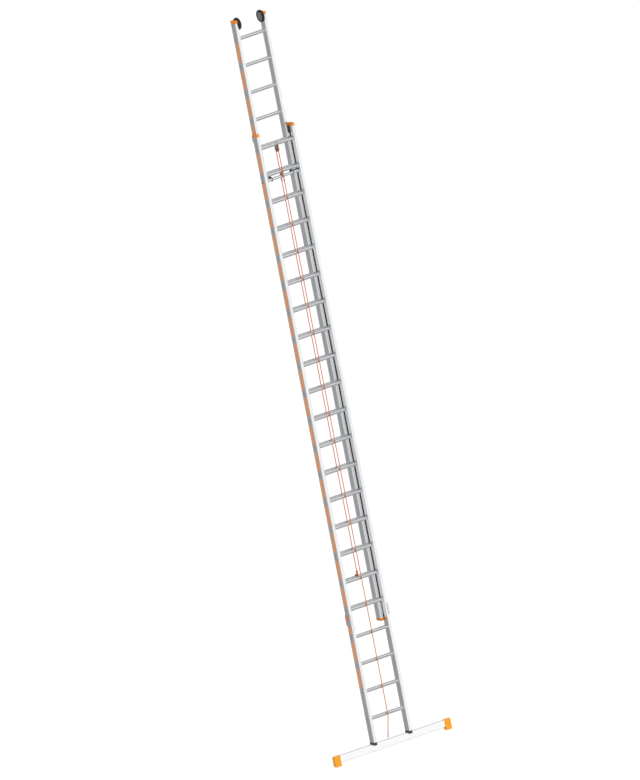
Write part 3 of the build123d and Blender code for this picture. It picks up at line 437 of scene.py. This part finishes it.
@dataclass(frozen=True)
class TyreRubber(Finish):
    """Moulded black rubber: dull, a little dusty, with a fine moulded texture."""

    grain: float = 1.2 * MM
    grain_depth: float = 0.15 * MM
    grain_strength: float = 0.35
    dust: float = 18 * MM
    dust_detail: float = 5.0
    dusty: tuple[float, float] = (0.4, 0.8)
    dust_range: float = 0.08

    def shade(self, tree: bpy.types.NodeTree, shader: bpy.types.Node) -> None:
        """Grain in bump, dust in colour and roughness."""
        grain = noise(tree, (self.grain,) * 3)
        dust = noise(tree, (self.dust,) * 3, detail=self.dust_detail)
        settled = spread(tree, dust, 0, 1, *self.dusty)
        self.link(tree, shader, Base_Color=tint(tree, settled, self.colour, self.second),
                  Roughness=spread(tree, dust, self.roughness - self.dust_range,
                                   self.roughness + self.dust_range),
                  Normal=self.relief(tree, grain, self.grain_depth, self.grain_strength))


@dataclass(frozen=True)
class BraidedRope(Finish):
    """Braided polypropylene rope: crossing strands, with painted shade darkening the valleys between them, and a
    soft fuzz.
    """

    fuzz: float = 0.7 * MM
    fuzz_depth: float = 0.2 * MM
    fuzz_strength: float = 0.4
    fuzz_detail: float = 4.0
    shaded_valley_to_lit_crest: tuple[float, float] = (-0.9, 0.6)
    sheen: float = 0.2

    def shade(self, tree: bpy.types.NodeTree, shader: bpy.types.Node) -> None:
        """Colour from the two families of crossing strands, with painted shade in their valleys; fuzz in bump and
        sheen.
        """
        uv = add(tree, "ShaderNodeSeparateXYZ", {0: add(tree, "ShaderNodeTexCoord").outputs["UV"]})
        ridges = []
        for turn in (1.0, -1.0):
            around = add(tree, "ShaderNodeMath", {0: uv.outputs[0], 1: ROPE_STARTS * math.tau},
                         operation="MULTIPLY")
            phase = add(tree, "ShaderNodeMath", {0: uv.outputs[1], 1: turn * math.tau, 2: around.outputs[0]},
                        operation="MULTIPLY_ADD")
            ridges.append(add(tree, "ShaderNodeMath", {0: phase.outputs[0]}, operation="COSINE").outputs[0])
        crest = add(tree, "ShaderNodeMath", {0: ridges[0], 1: ridges[1]}, operation="MAXIMUM").outputs[0]
        # Painted shade: the colour runs from the darker second colour in the valleys between strands to the first
        # on the crests
        painted_braid_shade = spread(tree, crest, 0, 1, *self.shaded_valley_to_lit_crest)
        fuzz = noise(tree, (self.fuzz,) * 3, detail=self.fuzz_detail)
        shader.inputs["Sheen Weight"].default_value = self.sheen
        self.link(tree, shader, Base_Color=tint(tree, painted_braid_shade, self.second, self.colour),
                  Normal=self.relief(tree, fuzz, self.fuzz_depth, self.fuzz_strength))


@dataclass(frozen=True)
class VinylFilm(Finish):
    """Unprinted coloured vinyl film: flat and slightly glossy, with faint scuffs along the ladder."""

    scuff: float = 6 * MM
    scuff_stretch: float = 10.0
    scuff_depth: float = 0.02 * MM
    scuff_strength: float = 0.3
    scuff_detail: float = 4.0
    scuffed: tuple[float, float] = (0.45, 0.75)
    scuff_dulling: float = 0.15

    def shade(self, tree: bpy.types.NodeTree, shader: bpy.types.Node) -> None:
        """Scuffs in colour and roughness."""
        grain = (self.scuff, self.scuff, self.scuff_stretch * self.scuff)
        scuff = noise(tree, grain, self.tilt, self.scuff_detail)
        rubbed = spread(tree, scuff, 0, 1, *self.scuffed)
        self.link(tree, shader, Base_Color=tint(tree, rubbed, self.colour, self.second),
                  Roughness=spread(tree, scuff, self.roughness, self.roughness + self.scuff_dulling,
                                   *self.scuffed),
                  Normal=self.relief(tree, scuff, self.scuff_depth, self.scuff_strength))


def finishes(tilt: float) -> dict[str, Finish]:
    """The finish of every material slot of the record, by slot name, and of the new pieces.

    Args:
        tilt: The ladder's angle from the vertical.
    Returns:
        Slot or piece name to finish.
    """
    return {
        "stile_aluminium": ExtrudedAluminium("aluminium_stile_extrusion", "eeeff0", "e6e8ea", 0.20, tilt),
        "rung_aluminium": ExtrudedAluminium("aluminium_rung_extrusion", "dcdddf", "d2d4d6", 0.30, tilt,
                                            Run.ACROSS_LADDER),
        "bar_aluminium": ExtrudedAluminium("aluminium_crossbar_extrusion", "f8f8f9", "f5f5f6", 0.24, tilt,
                                           Run.ACROSS_LADDER),
        "guide_sheet": ExtrudedAluminium("folded_aluminium_sheet", "e2e4e7", "d8dade", 0.36, tilt),
        "catch_aluminium": ExtrudedAluminium("drawn_aluminium_tube", "e0e1e3", "d6d8da", 0.34, tilt,
                                             Run.ACROSS_LADDER, line=1.5 * MM),
        "black_plastic": MouldedPlastic("black_nylon", "1d1d1f", "262628", 0.45, tilt),
        "orange_plastic": MouldedPlastic("orange_polypropylene", "f48e12", "ec860e", 0.42, tilt),
        "foot_plastic": MouldedPlastic("golden_polypropylene", "f6a60c", "f09e08", 0.42, tilt),
        "brown_plastic": MouldedPlastic("dark_brown_nylon", "3c2a23", "473129", 0.45, tilt),
        "sheave_plastic": MouldedPlastic("grey_nylon_sheave", "7a6059", "6c544e", 0.4, tilt),
        "guide_plastic": MouldedPlastic("terracotta_polypropylene", "cf8276", "c2776b", 0.45, tilt),
        "hub_plastic": MouldedPlastic("mid_grey_nylon", "8f9092", "858688", 0.42, tilt),
        "steel": PlatedSteel("zinc_plated_steel", "c4c6c8", "b3b5b8", 0.34, tilt),
        "pulley_steel": StoveCoat("brown_stove_coat", "a98478", "b8958a", 0.45, tilt),
        "tyre_rubber": TyreRubber("moulded_rubber", "1a1a1b", "2a2a2b", 0.72, tilt),
        # The rope's second, darker colour is painted shade for the valleys between its strands
        "rope": BraidedRope("braided_polypropylene", "dc7a2e", "ba5e24", 0.75, tilt),
        "label": VinylFilm("orange_vinyl_film", "f0a067", "ea975b", 0.38, tilt),
        "guide_label": VinylFilm("red_orange_vinyl_film", "e08a6c", "d67f60", 0.38, tilt),
        "whipping": VinylFilm("whipping_twine", "c06a34", "b05e2c", 0.7, tilt),
    }


def place(name: str, points: np.ndarray, loops: np.ndarray, starts: np.ndarray, uv: np.ndarray,
          finish: Finish, smooth: bool) -> bpy.types.Object:
    """Put arrays into a mesh and its object into the scene.

    Args:
        name: Name of the piece.
        points: Vertices, one row each.
        loops: Vertex of every face corner.
        starts: First corner of every face.
        uv: Texture place of every face corner.
        finish: The piece's finish.
        smooth: Whether its faces are shaded smooth.
    Returns:
        The object.
    """
    mesh = bpy.data.meshes.new(name)
    mesh.vertices.add(len(points))
    mesh.vertices.foreach_set("co", points.astype(np.float32).ravel())
    mesh.loops.add(len(loops))
    mesh.loops.foreach_set("vertex_index", loops.astype(np.int32))
    mesh.polygons.add(len(starts))
    mesh.polygons.foreach_set("loop_start", starts.astype(np.int32))
    mesh.polygons.foreach_set("use_smooth", np.full(len(starts), smooth))
    layer = mesh.uv_layers.new(name="UVMap")
    layer.data.foreach_set("uv", uv.astype(np.float32).ravel())
    mesh.update(calc_edges=True)
    mesh.materials.append(finish.material())
    piece = bpy.data.objects.new(name, mesh)
    bpy.context.scene.collection.objects.link(piece)
    return piece


def distances(path: np.ndarray) -> np.ndarray:
    """How far along a path each of its points lies.

    Args:
        path: Points, one row each.
    Returns:
        Lengths from the first point.
    """
    return np.concatenate(([0.0], np.cumsum(np.linalg.norm(np.diff(path, axis=0), axis=1))))


def points_at(path: np.ndarray, places: np.ndarray) -> np.ndarray:
    """The points of a path at given lengths along it.

    Args:
        path: Points, one row each.
        places: Lengths from the path's first point.
    Returns:
        One row for each place.
    """
    run = distances(path)
    return np.column_stack([np.interp(places, run, path[:, k]) for k in range(3)])


def even(path: np.ndarray, step: float) -> np.ndarray:
    """The path with evenly spaced points.

    Args:
        path: Points, one row each.
        step: About how far apart the new points are.
    Returns:
        The new points, at least four.
    """
    length = distances(path)[-1]
    return points_at(path, np.linspace(0.0, length, max(4, round(length / step) + 1)))


def tube(path: np.ndarray, radius: np.ndarray, level: np.ndarray, repeat: float) -> tuple[np.ndarray, ...]:
    """A round profile carried along a path, closed at both ends.

    Ring i lies square to the path's tangent there. Its corner j is the path's point plus radius[i, j] times
    cos(angle) along the cross product of tangent and level, plus sin(angle) along the third direction.

    Args:
        path: Points of the centreline, one row each.
        radius: Radius at each ring and corner.
        level: A direction that the path never runs along.
        repeat: Length of path that one unit of texture covers.
    Returns:
        Points, face corners, face starts and texture places.
    """
    rows, sides = radius.shape
    tangent = np.gradient(path, axis=0)
    tangent /= np.linalg.norm(tangent, axis=1, keepdims=True)
    aside = np.cross(tangent, level)
    aside /= np.linalg.norm(aside, axis=1, keepdims=True)
    upright = np.cross(tangent, aside)
    angle = np.arange(sides) * (math.tau / sides)
    ring = (np.cos(angle)[None, :, None] * aside[:, None, :]
            + np.sin(angle)[None, :, None] * upright[:, None, :])
    points = (path[:, None, :] + radius[..., None] * ring).reshape(-1, 3)
    i, j = np.meshgrid(np.arange(rows - 1), np.arange(sides), indexing="ij")
    after = (j + 1) % sides
    here, beyond = i * sides, (i + 1) * sides
    quads = np.stack((here + j, beyond + j, beyond + after, here + after), axis=-1)
    run = distances(path) / repeat
    v = np.stack((run[i], run[i + 1], run[i + 1], run[i]), axis=-1)
    u = np.stack((j, j, j + 1, j + 1), axis=-1) / sides
    caps = np.concatenate((np.arange(sides), (rows - 1) * sides + np.arange(sides)[::-1]))
    cap_uv = np.zeros((2 * sides, 2))
    loops = np.concatenate((quads.ravel(), caps))
    count = quads.shape[0] * quads.shape[1]
    starts = np.concatenate((np.arange(count) * 4, (count * 4, count * 4 + sides)))
    uv = np.concatenate((np.stack((u, v), axis=-1).reshape(-1, 2), cap_uv))
    return points, loops, starts, uv


def joined(parts: list[tuple[np.ndarray, ...]]) -> tuple[np.ndarray, ...]:
    """Several tubes as one.

    Args:
        parts: Points, face corners, face starts and texture places of each tube.
    Returns:
        The same four arrays for all of them.
    """
    first_point = np.cumsum([0] + [len(p[0]) for p in parts])
    first_loop = np.cumsum([0] + [len(p[1]) for p in parts])
    return (np.concatenate([p[0] for p in parts]),
            np.concatenate([p[1] + k for p, k in zip(parts, first_point)]),
            np.concatenate([p[2] + k for p, k in zip(parts, first_loop)]),
            np.concatenate([p[3] for p in parts]))


def spline_points(controls: np.ndarray) -> np.ndarray:
    """Points along the NURBS spline that has these control points.

    Args:
        controls: Control points in the shared frame, one row each.
    Returns:
        Points along the spline, one row each.
    """
    curve = bpy.data.curves.new("route", "CURVE")
    curve.dimensions = "3D"
    spline = curve.splines.new("NURBS")
    spline.points.add(len(controls) - 1)
    spline.points.foreach_set("co", np.column_stack((controls, np.ones(len(controls)))).ravel())
    spline.order_u = SPLINE_ORDER
    spline.use_endpoint_u = True
    spline.resolution_u = SPLINE_STEPS
    carrier = bpy.data.objects.new("route", curve)
    mesh = bpy.data.meshes.new_from_object(carrier)
    points = np.empty(len(mesh.vertices) * 3)
    mesh.vertices.foreach_get("co", points)
    bpy.data.objects.remove(carrier)
    bpy.data.curves.remove(curve)
    bpy.data.meshes.remove(mesh)
    return points.reshape(-1, 3)


@dataclass
class Rope:
    """The hoist rope: free strand, turn over the sheave, hoist strand and hitch on the fly's second rung.

    Heights that end in _u are measured along the ladder. A lead is how far from an end or a bend a spline's
    next control point lies.
    """

    lean: Lean
    finish: Finish
    twine: Finish
    braid: float = 0.45 * MM
    pitch: float = 18 * MM
    sides: int = 16
    step: float = 3 * MM
    knot_step: float = 1.5 * MM
    end_step: float = 2 * MM
    smallest_tip: float = 0.02
    cord_every: int = 8
    turn_rings: int = 41
    pulley_lead: float = 54 * MM
    corner_u: float = FIRST_RUNG - 20 * MM
    corner_lead: float = 54 * MM
    tail_length: float = 252 * MM
    hitch_u: float = FLY_FIRST_RUNG + RUNG_PITCH
    knot_above_rung: float = 24 * MM
    knot_length: float = 46 * MM
    knot_samples: int = 400
    loop_turns: int = 2
    loop_from: float = 0.75 * math.pi
    loop_square: float = 5.0
    loop_spacing: float = 9.45 * MM
    wrap_turns: int = 5
    wrap_radius: float = 3.7 * MM
    wrap_reach: float = 7.0 * MM
    end_length: float = 45 * MM
    end_aside: float = 4 * MM
    end_forward: float = 1 * MM
    whipping_length: float = 22 * MM
    whipping_turns: int = 16
    rings_per_turn: int = 8
    whipping_bare: float = 7.2 * MM
    twine_lift: float = 0.35 * MM
    twine_ripple: float = 0.3 * MM

    @property
    def knot_low(self) -> float:
        """Height of the knot's lower end."""
        return self.hitch_u + self.knot_above_rung

    @property
    def knot_top(self) -> float:
        """Height of the knot's upper end, where the hoist strand begins."""
        return self.knot_low + self.knot_length

    def strand(self, path: np.ndarray, level: np.ndarray, radius: float = ROPE_RADIUS,
               sealed: bool = False) -> tuple[np.ndarray, ...]:
        """A braided tube along a path.

        The radius falls from its full size by half the braid's depth times one minus the higher of two
        cosines, one for each family of strands that winds round the rope. At a sealed end it rounds off to a
        tip.

        Args:
            path: Centreline points, evenly spaced.
            level: A direction that the path never runs along.
            radius: Full radius.
            sealed: Whether the last end is melted to a rounded tip.
        Returns:
            Points, face corners, face starts and texture places.
        """
        run = distances(path)
        around = ROPE_STARTS * np.arange(self.sides)[None, :] * (math.tau / self.sides)
        lay = run[:, None] * (math.tau / self.pitch)
        crest = np.maximum(np.cos(around + lay), np.cos(around - lay))
        radii = radius - self.braid / 2 * (1 - crest)
        if sealed:
            left = np.clip((run[-1] - run) / radius, self.smallest_tip, 1.0)
            radii = radii * np.sqrt(left * (2 - left))[:, None]
        return tube(path, radii, level, self.pitch)

    def free_strand(self) -> bpy.types.Object:
        """The strand that comes off the sheave, runs down the rungs' front and hangs plumb at its tail."""
        lean = self.lean
        fall_n, fall_u = math.sin(lean.tilt), -math.cos(lean.tilt)
        n = np.array((0, 0, 0, 0, self.corner_lead * fall_n, self.tail_length * fall_n)) + lean.free_n
        u = np.array((SHEAVE_U, SHEAVE_U - self.pulley_lead, self.corner_u + self.corner_lead,
                      self.corner_u, self.corner_u + self.corner_lead * fall_u,
                      self.corner_u + self.tail_length * fall_u))
        path = even(spline_points(lean.at(0.0, n, u)), self.step)
        piece = place("rope_free", *self.strand(path, lean.across, sealed=True), self.finish, True)
        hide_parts("rope_free_strand")
        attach(piece, Body.BASE.value)
        bound = self.whipping(path)
        return piece

    def whipping(self, path: np.ndarray) -> bpy.types.Object:
        """Twine wound round the tail's end: a tube whose radius ripples once for every turn of the twine.

        Args:
            path: Centreline points of the free strand.
        Returns:
            The wound twine.
        """
        stop = distances(path)[-1] - self.whipping_bare
        rings = self.rings_per_turn * self.whipping_turns + 1
        line = points_at(path, np.linspace(stop - self.whipping_length, stop, rings))
        phase = np.linspace(0, math.tau * self.whipping_turns, rings)[:, None]
        angle = np.arange(self.sides)[None, :] * (math.tau / self.sides)
        radii = ROPE_RADIUS + self.twine_lift + self.twine_ripple * np.cos(phase + angle)
        wound = tube(line, radii, self.lean.across, self.pitch)
        piece = place("rope_tail_whipping", *wound, self.twine, True)
        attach(piece, Body.BASE.value)
        return piece

    def sheave_turn(self) -> bpy.types.Object:
        """The half turn over the sheave: a circle of the sheave's pitch radius from rear to front."""
        angle = np.linspace(0.0, math.pi, self.turn_rings)
        path = self.lean.at(0.0, self.lean.sheave_n + SHEAVE_RADIUS * np.cos(angle),
                            SHEAVE_U + SHEAVE_RADIUS * np.sin(angle))
        piece = place("rope_turn", *self.strand(path, self.lean.across), self.finish, True)
        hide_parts("rope_sheave_turn")
        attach(piece, Body.BASE.value)
        return piece

    def hoist_strand(self) -> bpy.types.Object:
        """The taut strand from the sheave's rear down to the hitch, made for the fly's present place."""
        rear = self.lean.sheave_n + SHEAVE_RADIUS
        share = self.pulley_lead / (SHEAVE_U - self.knot_top)
        part = np.array((0.0, share, 1 - share, 1.0))
        controls = self.lean.at(0.0, rear + (self.lean.hitch_n - rear) * part,
                                SHEAVE_U + (self.knot_top - SHEAVE_U) * part)
        path = even(spline_points(controls), self.step)
        piece = place("rope_hoist", *self.strand(path, self.lean.across), self.finish, True)
        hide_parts("rope_hoist_strand")
        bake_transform(piece)
        return piece

    def hitch(self) -> bpy.types.Object:
        """Two round turns on the fly's rung, the knot's wraps round the standing part, and its short end.

        The turns follow a rounded square, the curve on which the loop_square powers of the two offsets add up
        to that of the reach, and step sideways by loop_spacing a turn. The wraps are a helix.
        """
        lean = self.lean
        t = np.linspace(0.0, 1.0, self.knot_samples)
        angle = math.tau * self.loop_turns * t + self.loop_from
        power = 2 / self.loop_square
        side = np.sign(np.cos(angle)) * np.abs(np.cos(angle)) ** power
        rise = np.sign(np.sin(angle)) * np.abs(np.sin(angle)) ** power
        x = self.loop_spacing * (t - 0.5) * (self.loop_turns - 0.5)
        loop = even(lean.at(x, FLY_RUNG_N + lean.rope_reach * side,
                            self.hitch_u + lean.rope_reach * rise), self.knot_step)
        standing = even(lean.at(0.0, np.full(2, lean.hitch_n),
                                np.array((self.knot_top, self.hitch_u))), self.end_step)
        angle = math.tau * self.wrap_turns * t
        lowest = self.knot_low + self.wrap_radius
        height = self.knot_length - 2 * self.wrap_radius
        wraps = even(lean.at(self.wrap_reach * np.sin(angle), lean.hitch_n - self.wrap_reach * np.cos(angle),
                             lowest + height * (1 - t)), self.knot_step)
        part = np.array((0.0, 0.5, 1.0))
        forward = np.array((0.0, self.end_forward, self.end_forward))
        end = even(spline_points(lean.at(self.end_aside * part, lean.hitch_n - self.wrap_reach - forward,
                                         lowest - self.end_length * part)), self.end_step)
        parts = [self.strand(loop, lean.across), self.strand(standing, lean.across),
                 self.strand(wraps, lean.along, self.wrap_radius),
                 self.strand(end, lean.across, self.wrap_radius, sealed=True)]
        piece = place("rope_knot", *joined(parts), self.finish, True)
        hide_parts("rope_hitch")
        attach(piece, Body.FLY.value)
        return piece

    def build(self) -> list[bpy.types.Object]:
        """Make every piece of the rope."""
        return [self.free_strand(), self.sheave_turn(), self.hoist_strand(), self.hitch()]


@dataclass
class LabelFilms:
    """Plain strips of film in a row on the ladder's left outer side, pitch apart."""

    lean: Lean
    name: str
    finish: Finish
    body: Body
    outer: float
    middle: float
    lowest: float
    count: int
    length: float = 196 * MM
    width: float = 50 * MM
    pitch: float = RUNG_PITCH
    corner: float = 8 * MM
    corner_points: int = 7
    thickness: float = 0.3 * MM
    bevel: float = 0.4

    def outline(self) -> tuple[np.ndarray, np.ndarray]:
        """A rectangle with rounded corners: four quarter circles about the corners of a smaller rectangle."""
        angle = (np.arange(4)[:, None] + np.linspace(0, 1, self.corner_points)[None, :]) * (math.pi / 2)
        side = np.array((1, -1, -1, 1))[:, None] * (self.width / 2 - self.corner)
        rise = np.array((1, 1, -1, -1))[:, None] * (self.length / 2 - self.corner)
        return (side + self.corner * np.cos(angle)).ravel(), (rise + self.corner * np.sin(angle)).ravel()

    def strips(self) -> tuple[np.ndarray, ...]:
        """Every strip as one set: a rim round each outline, a little narrower on top, and one face on top.

        Returns:
            Points, face corners, face starts and texture places.
        """
        n, u = self.outline()
        count = len(n)
        heights = self.lowest + np.arange(self.count) * self.pitch
        lift = np.array((0.0, self.thickness))[None, :, None]
        inset = 1 - self.bevel * lift / self.width
        points = self.lean.at(-self.outer - lift, self.middle + n * inset,
                              heights[:, None, None] + u * inset).reshape(-1, 3)
        k = np.arange(count)
        rim = np.stack((k + count, (k + 1) % count + count, (k + 1) % count, k), axis=-1)
        single = np.concatenate((rim.ravel(), k[::-1] + count))
        loops = (single + 2 * count * np.arange(self.count)[:, None]).ravel()
        begin = np.concatenate((np.arange(count) * 4, [4 * count]))
        starts = (begin + len(single) * np.arange(self.count)[:, None]).ravel()
        flat = np.stack((n / self.width + 0.5, u / self.length + 0.5), axis=-1)
        return points, loops, starts, np.tile(flat[single % count], (self.count, 1))

    def build(self) -> list[bpy.types.Object]:
        """Make the strips."""
        piece = place(self.name, *self.strips(), self.finish, False)
        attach(piece, self.body.value)
        return [piece]


@dataclass
class Studio:
    """White floor, a light sweep, a soft lamp that shows in no reflection, and the camera.

    The sweep has one level for each quarter of the sky, high and low. The pairs horizon, screen_foot and
    screen_top are heights on the unit sphere between which one level passes into the next, left_to_right is
    the same across it and front_to_rear from its front to its back.
    """

    lean: Lean
    azimuth: float = math.radians(35.0)
    elevation: float = math.radians(29.145)
    pixels_per_metre: float = 101.35
    picture: tuple[float, float] = (640.0, 780.0)
    anchor_u: float = TOP_RUNG
    anchor_pixel: tuple[float, float] = (278.22, 144.0)
    distance: float = 20.0
    clip_end: float = 100.0
    high_front: float = 1.06
    high_back: float = 0.78
    low_front: float = 0.5
    front_left: float = 0.82
    low_left: float = 0.36
    horizon: tuple[float, float] = (-0.45, -0.1)
    screen: float = 0.02
    screen_foot: tuple[float, float] = (-0.66, -0.55)
    screen_top: tuple[float, float] = (-0.4, 0.1)
    left_to_right: tuple[float, float] = (-0.2, 0.2)
    front_to_rear: tuple[float, float] = (-0.3, 0.3)
    lamp_watts: float = 400.0
    lamp_size: float = 5.0
    lamp_stand: tuple[float, float, float] = (3.5, -10.0, 8.0)
    lamp_target: tuple[float, float, float] = (0.0, 0.0, 3.0)
    floor_half: float = 40.0
    floor_drop: float = 0.5 * MM
    floor_roughness: float = 0.9
    floor_glow: float = 0.72
    floor_shadow: float = 0.36
    paper: tuple[str, str] = ("e6e6e6", "e2e2e2")
    paper_patch: float = 400 * MM

    def camera(self) -> bpy.types.Object:
        """An orthographic camera at the photograph's angle, with the anchor point on its pixel."""
        a, e = self.azimuth, self.elevation
        look = np.array((math.cos(e) * math.sin(a), math.cos(e) * math.cos(a), -math.sin(e)))
        right = np.array((math.cos(a), -math.sin(a), 0.0))
        up = np.cross(right, look)
        anchor = self.lean.at(0.0, 0.0, self.anchor_u)
        aside = (self.picture[0] / 2 - self.anchor_pixel[0]) / self.pixels_per_metre
        below = (self.picture[1] / 2 - self.anchor_pixel[1]) / self.pixels_per_metre
        centre = anchor + right * aside - up * below
        data = bpy.data.cameras.new("camera")
        data.type = "ORTHO"
        data.ortho_scale = max(self.picture) / self.pixels_per_metre
        data.clip_end = self.clip_end
        data.dof.use_dof = False
        camera = bpy.data.objects.new("camera", data)
        bpy.context.scene.collection.objects.link(camera)
        camera.matrix_world = Matrix.Translation(Vector(centre - look * self.distance)) @ Matrix(
            np.column_stack((right, up, -look)).tolist()).to_4x4()
        bpy.context.scene.camera = camera
        return camera

    def world(self) -> None:
        """White to the camera; to the ladder a sweep of four quarters, with a dark screen at the back."""
        world = bpy.data.worlds.new("studio")
        world.use_nodes = True
        tree = world.node_tree
        axes = add(tree, "ShaderNodeSeparateXYZ", {0: add(tree, "ShaderNodeTexCoord").outputs["Generated"]})
        right = spread(tree, axes.outputs[0], 0, 1, *self.left_to_right)
        behind = spread(tree, axes.outputs[1], 0, 1, *self.front_to_rear)
        height = axes.outputs[2]
        front_right = spread(tree, height, self.low_front, self.high_front, *self.horizon)
        rear_left = spread(tree, height, self.low_left, self.high_back, *self.horizon)
        above = spread(tree, height, self.screen, self.high_back, *self.screen_top)
        below = spread(tree, height, self.low_left, self.screen, *self.screen_foot)
        rear_right = add(tree, "ShaderNodeMath", {0: above, 1: below}, operation="MAXIMUM").outputs[0]
        front = blend(tree, right, self.front_left, front_right)
        sweep = blend(tree, behind, front, blend(tree, right, rear_left, rear_right))
        strength = blend(tree, self.seen(tree, add(tree, "ShaderNodeLightPath")), sweep, 1.0)
        tree.links.new(strength, tree.nodes["Background"].inputs["Strength"])
        tree.nodes["Background"].inputs["Color"].default_value = WHITE
        bpy.context.scene.world = world

    def seen(self, tree: bpy.types.NodeTree, rays: bpy.types.Node) -> bpy.types.NodeSocket:
        """Whether a ray comes from the camera, straight or through something clear.

        Args:
            tree: The node tree.
            rays: Its light path node.
        Returns:
            1 for such a ray and 0 for any other.
        """
        either = add(tree, "ShaderNodeMath", {0: rays.outputs["Is Camera Ray"],
                                              1: rays.outputs["Is Transmission Ray"]}, operation="MAXIMUM")
        return either.outputs[0]

    def floor(self) -> bpy.types.Object:
        """A pale floor just under the soles; to the camera it is white and keeps the soft shadow."""
        half, z = self.floor_half, -self.floor_drop
        mesh = bpy.data.meshes.new("floor")
        mesh.from_pydata([(-half, -half, z), (half, -half, z), (half, half, z), (-half, half, z)], [],
                         [(0, 1, 2, 3)])
        paper = bpy.data.materials.new("white_paper")
        paper.use_nodes = True
        tree = paper.node_tree
        shader = tree.nodes["Principled BSDF"]
        shader.inputs["Roughness"].default_value = self.floor_roughness
        shader.inputs["Specular IOR Level"].default_value = 0.0
        seen = self.seen(tree, add(tree, "ShaderNodeLightPath"))
        fibre = noise(tree, (self.paper_patch,) * 3)
        own = tint(tree, spread(tree, fibre, 0, 1), *self.paper)
        shade = mix_colours(tree, seen, own, (*(self.floor_shadow,) * 3, 1.0))
        glow = add(tree, "ShaderNodeMath", {0: seen, 1: self.floor_glow}, operation="MULTIPLY")
        tree.links.new(shade, shader.inputs["Base Color"])
        shader.inputs["Emission Color"].default_value = WHITE
        tree.links.new(glow.outputs[0], shader.inputs["Emission Strength"])
        mesh.materials.append(paper)
        floor = bpy.data.objects.new("floor", mesh)
        floor.visible_glossy = False
        bpy.context.scene.collection.objects.link(floor)
        return floor

    def lamp(self) -> bpy.types.Object:
        """A large soft lamp in front and above, a little to the right."""
        data = bpy.data.lights.new("soft_lamp", "AREA")
        data.size = self.lamp_size
        data.energy = self.lamp_watts
        lamp = bpy.data.objects.new("soft_lamp", data)
        lamp.visible_glossy = False
        stand, target = Vector(self.lamp_stand), Vector(self.lamp_target)
        aim = (target - stand).to_track_quat("-Z", "Y").to_matrix().to_4x4()
        lamp.matrix_world = Matrix.Translation(stand) @ aim
        bpy.context.scene.collection.objects.link(lamp)
        return lamp

    def build(self) -> None:
        """Set up the floor, the light and the camera."""
        self.floor()
        self.world()
        self.lamp()
        self.camera()
        bpy.context.scene.view_settings.view_transform = "Standard"


@dataclass
class Ladder:
    """The whole ladder: CAD nodes dressed by slot, with golden feet, then the new pieces."""

    lean: Lean
    finish: dict[str, Finish]
    feet: tuple[str, ...] = ("foot_cap_left", "foot_cap_right")

    def dress(self) -> None:
        """Give each CAD node the finish of its slot."""
        for part in frame["record"]["subparts"]:
            node = frame["nodes"][part["node"]]
            name = "foot_plastic" if part["node"] in self.feet else part["material_slot"]
            for holder in node.material_slots:
                holder.material = self.finish[name].material()
            LOG.info("%s: %s", part["node"], name)

    def build(self) -> None:
        """Dress the nodes and make the films and the rope."""
        self.dress()
        label, red = self.finish["label"], self.finish["guide_label"]
        # One strip for every gap between two rungs but the base's lowest, and one on the bottom guide
        films = [LabelFilms(self.lean, "base_films", label, Body.BASE, outer=BASE_HALF_WIDTH,
                            middle=STILE_DEPTH / 2, lowest=FIRST_RUNG + 1.5 * RUNG_PITCH,
                            count=RUNG_COUNT - 2),
                 LabelFilms(self.lean, "fly_films", label, Body.FLY, outer=FLY_HALF_WIDTH,
                            middle=FLY_RUNG_N, lowest=FLY_FIRST_RUNG + 0.5 * RUNG_PITCH,
                            count=RUNG_COUNT - 1),
                 LabelFilms(self.lean, "guide_film", red, Body.FLY, outer=BASE_HALF_WIDTH + GUIDE_STANDS_OUT,
                            middle=STILE_DEPTH / 2, lowest=GUIDE_FILM_HEIGHT, count=1,
                            length=50 * MM, width=60 * MM)]
        for group in (*films, Rope(self.lean, self.finish["rope"], self.finish["whipping"])):
            for piece in group.build():
                LOG.info("%s: %d faces", piece.name, len(piece.data.polygons))


def main() -> None:
    """Build the ladder's looks and the studio."""
    logging.basicConfig(level=logging.INFO, format="%(name)s %(message)s")
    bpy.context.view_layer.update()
    lean = Lean.from_joints(frame["joints"])
    Ladder(lean, finishes(lean.tilt)).build()
    Studio(lean).build()


if __name__ == "__main__":
    main()
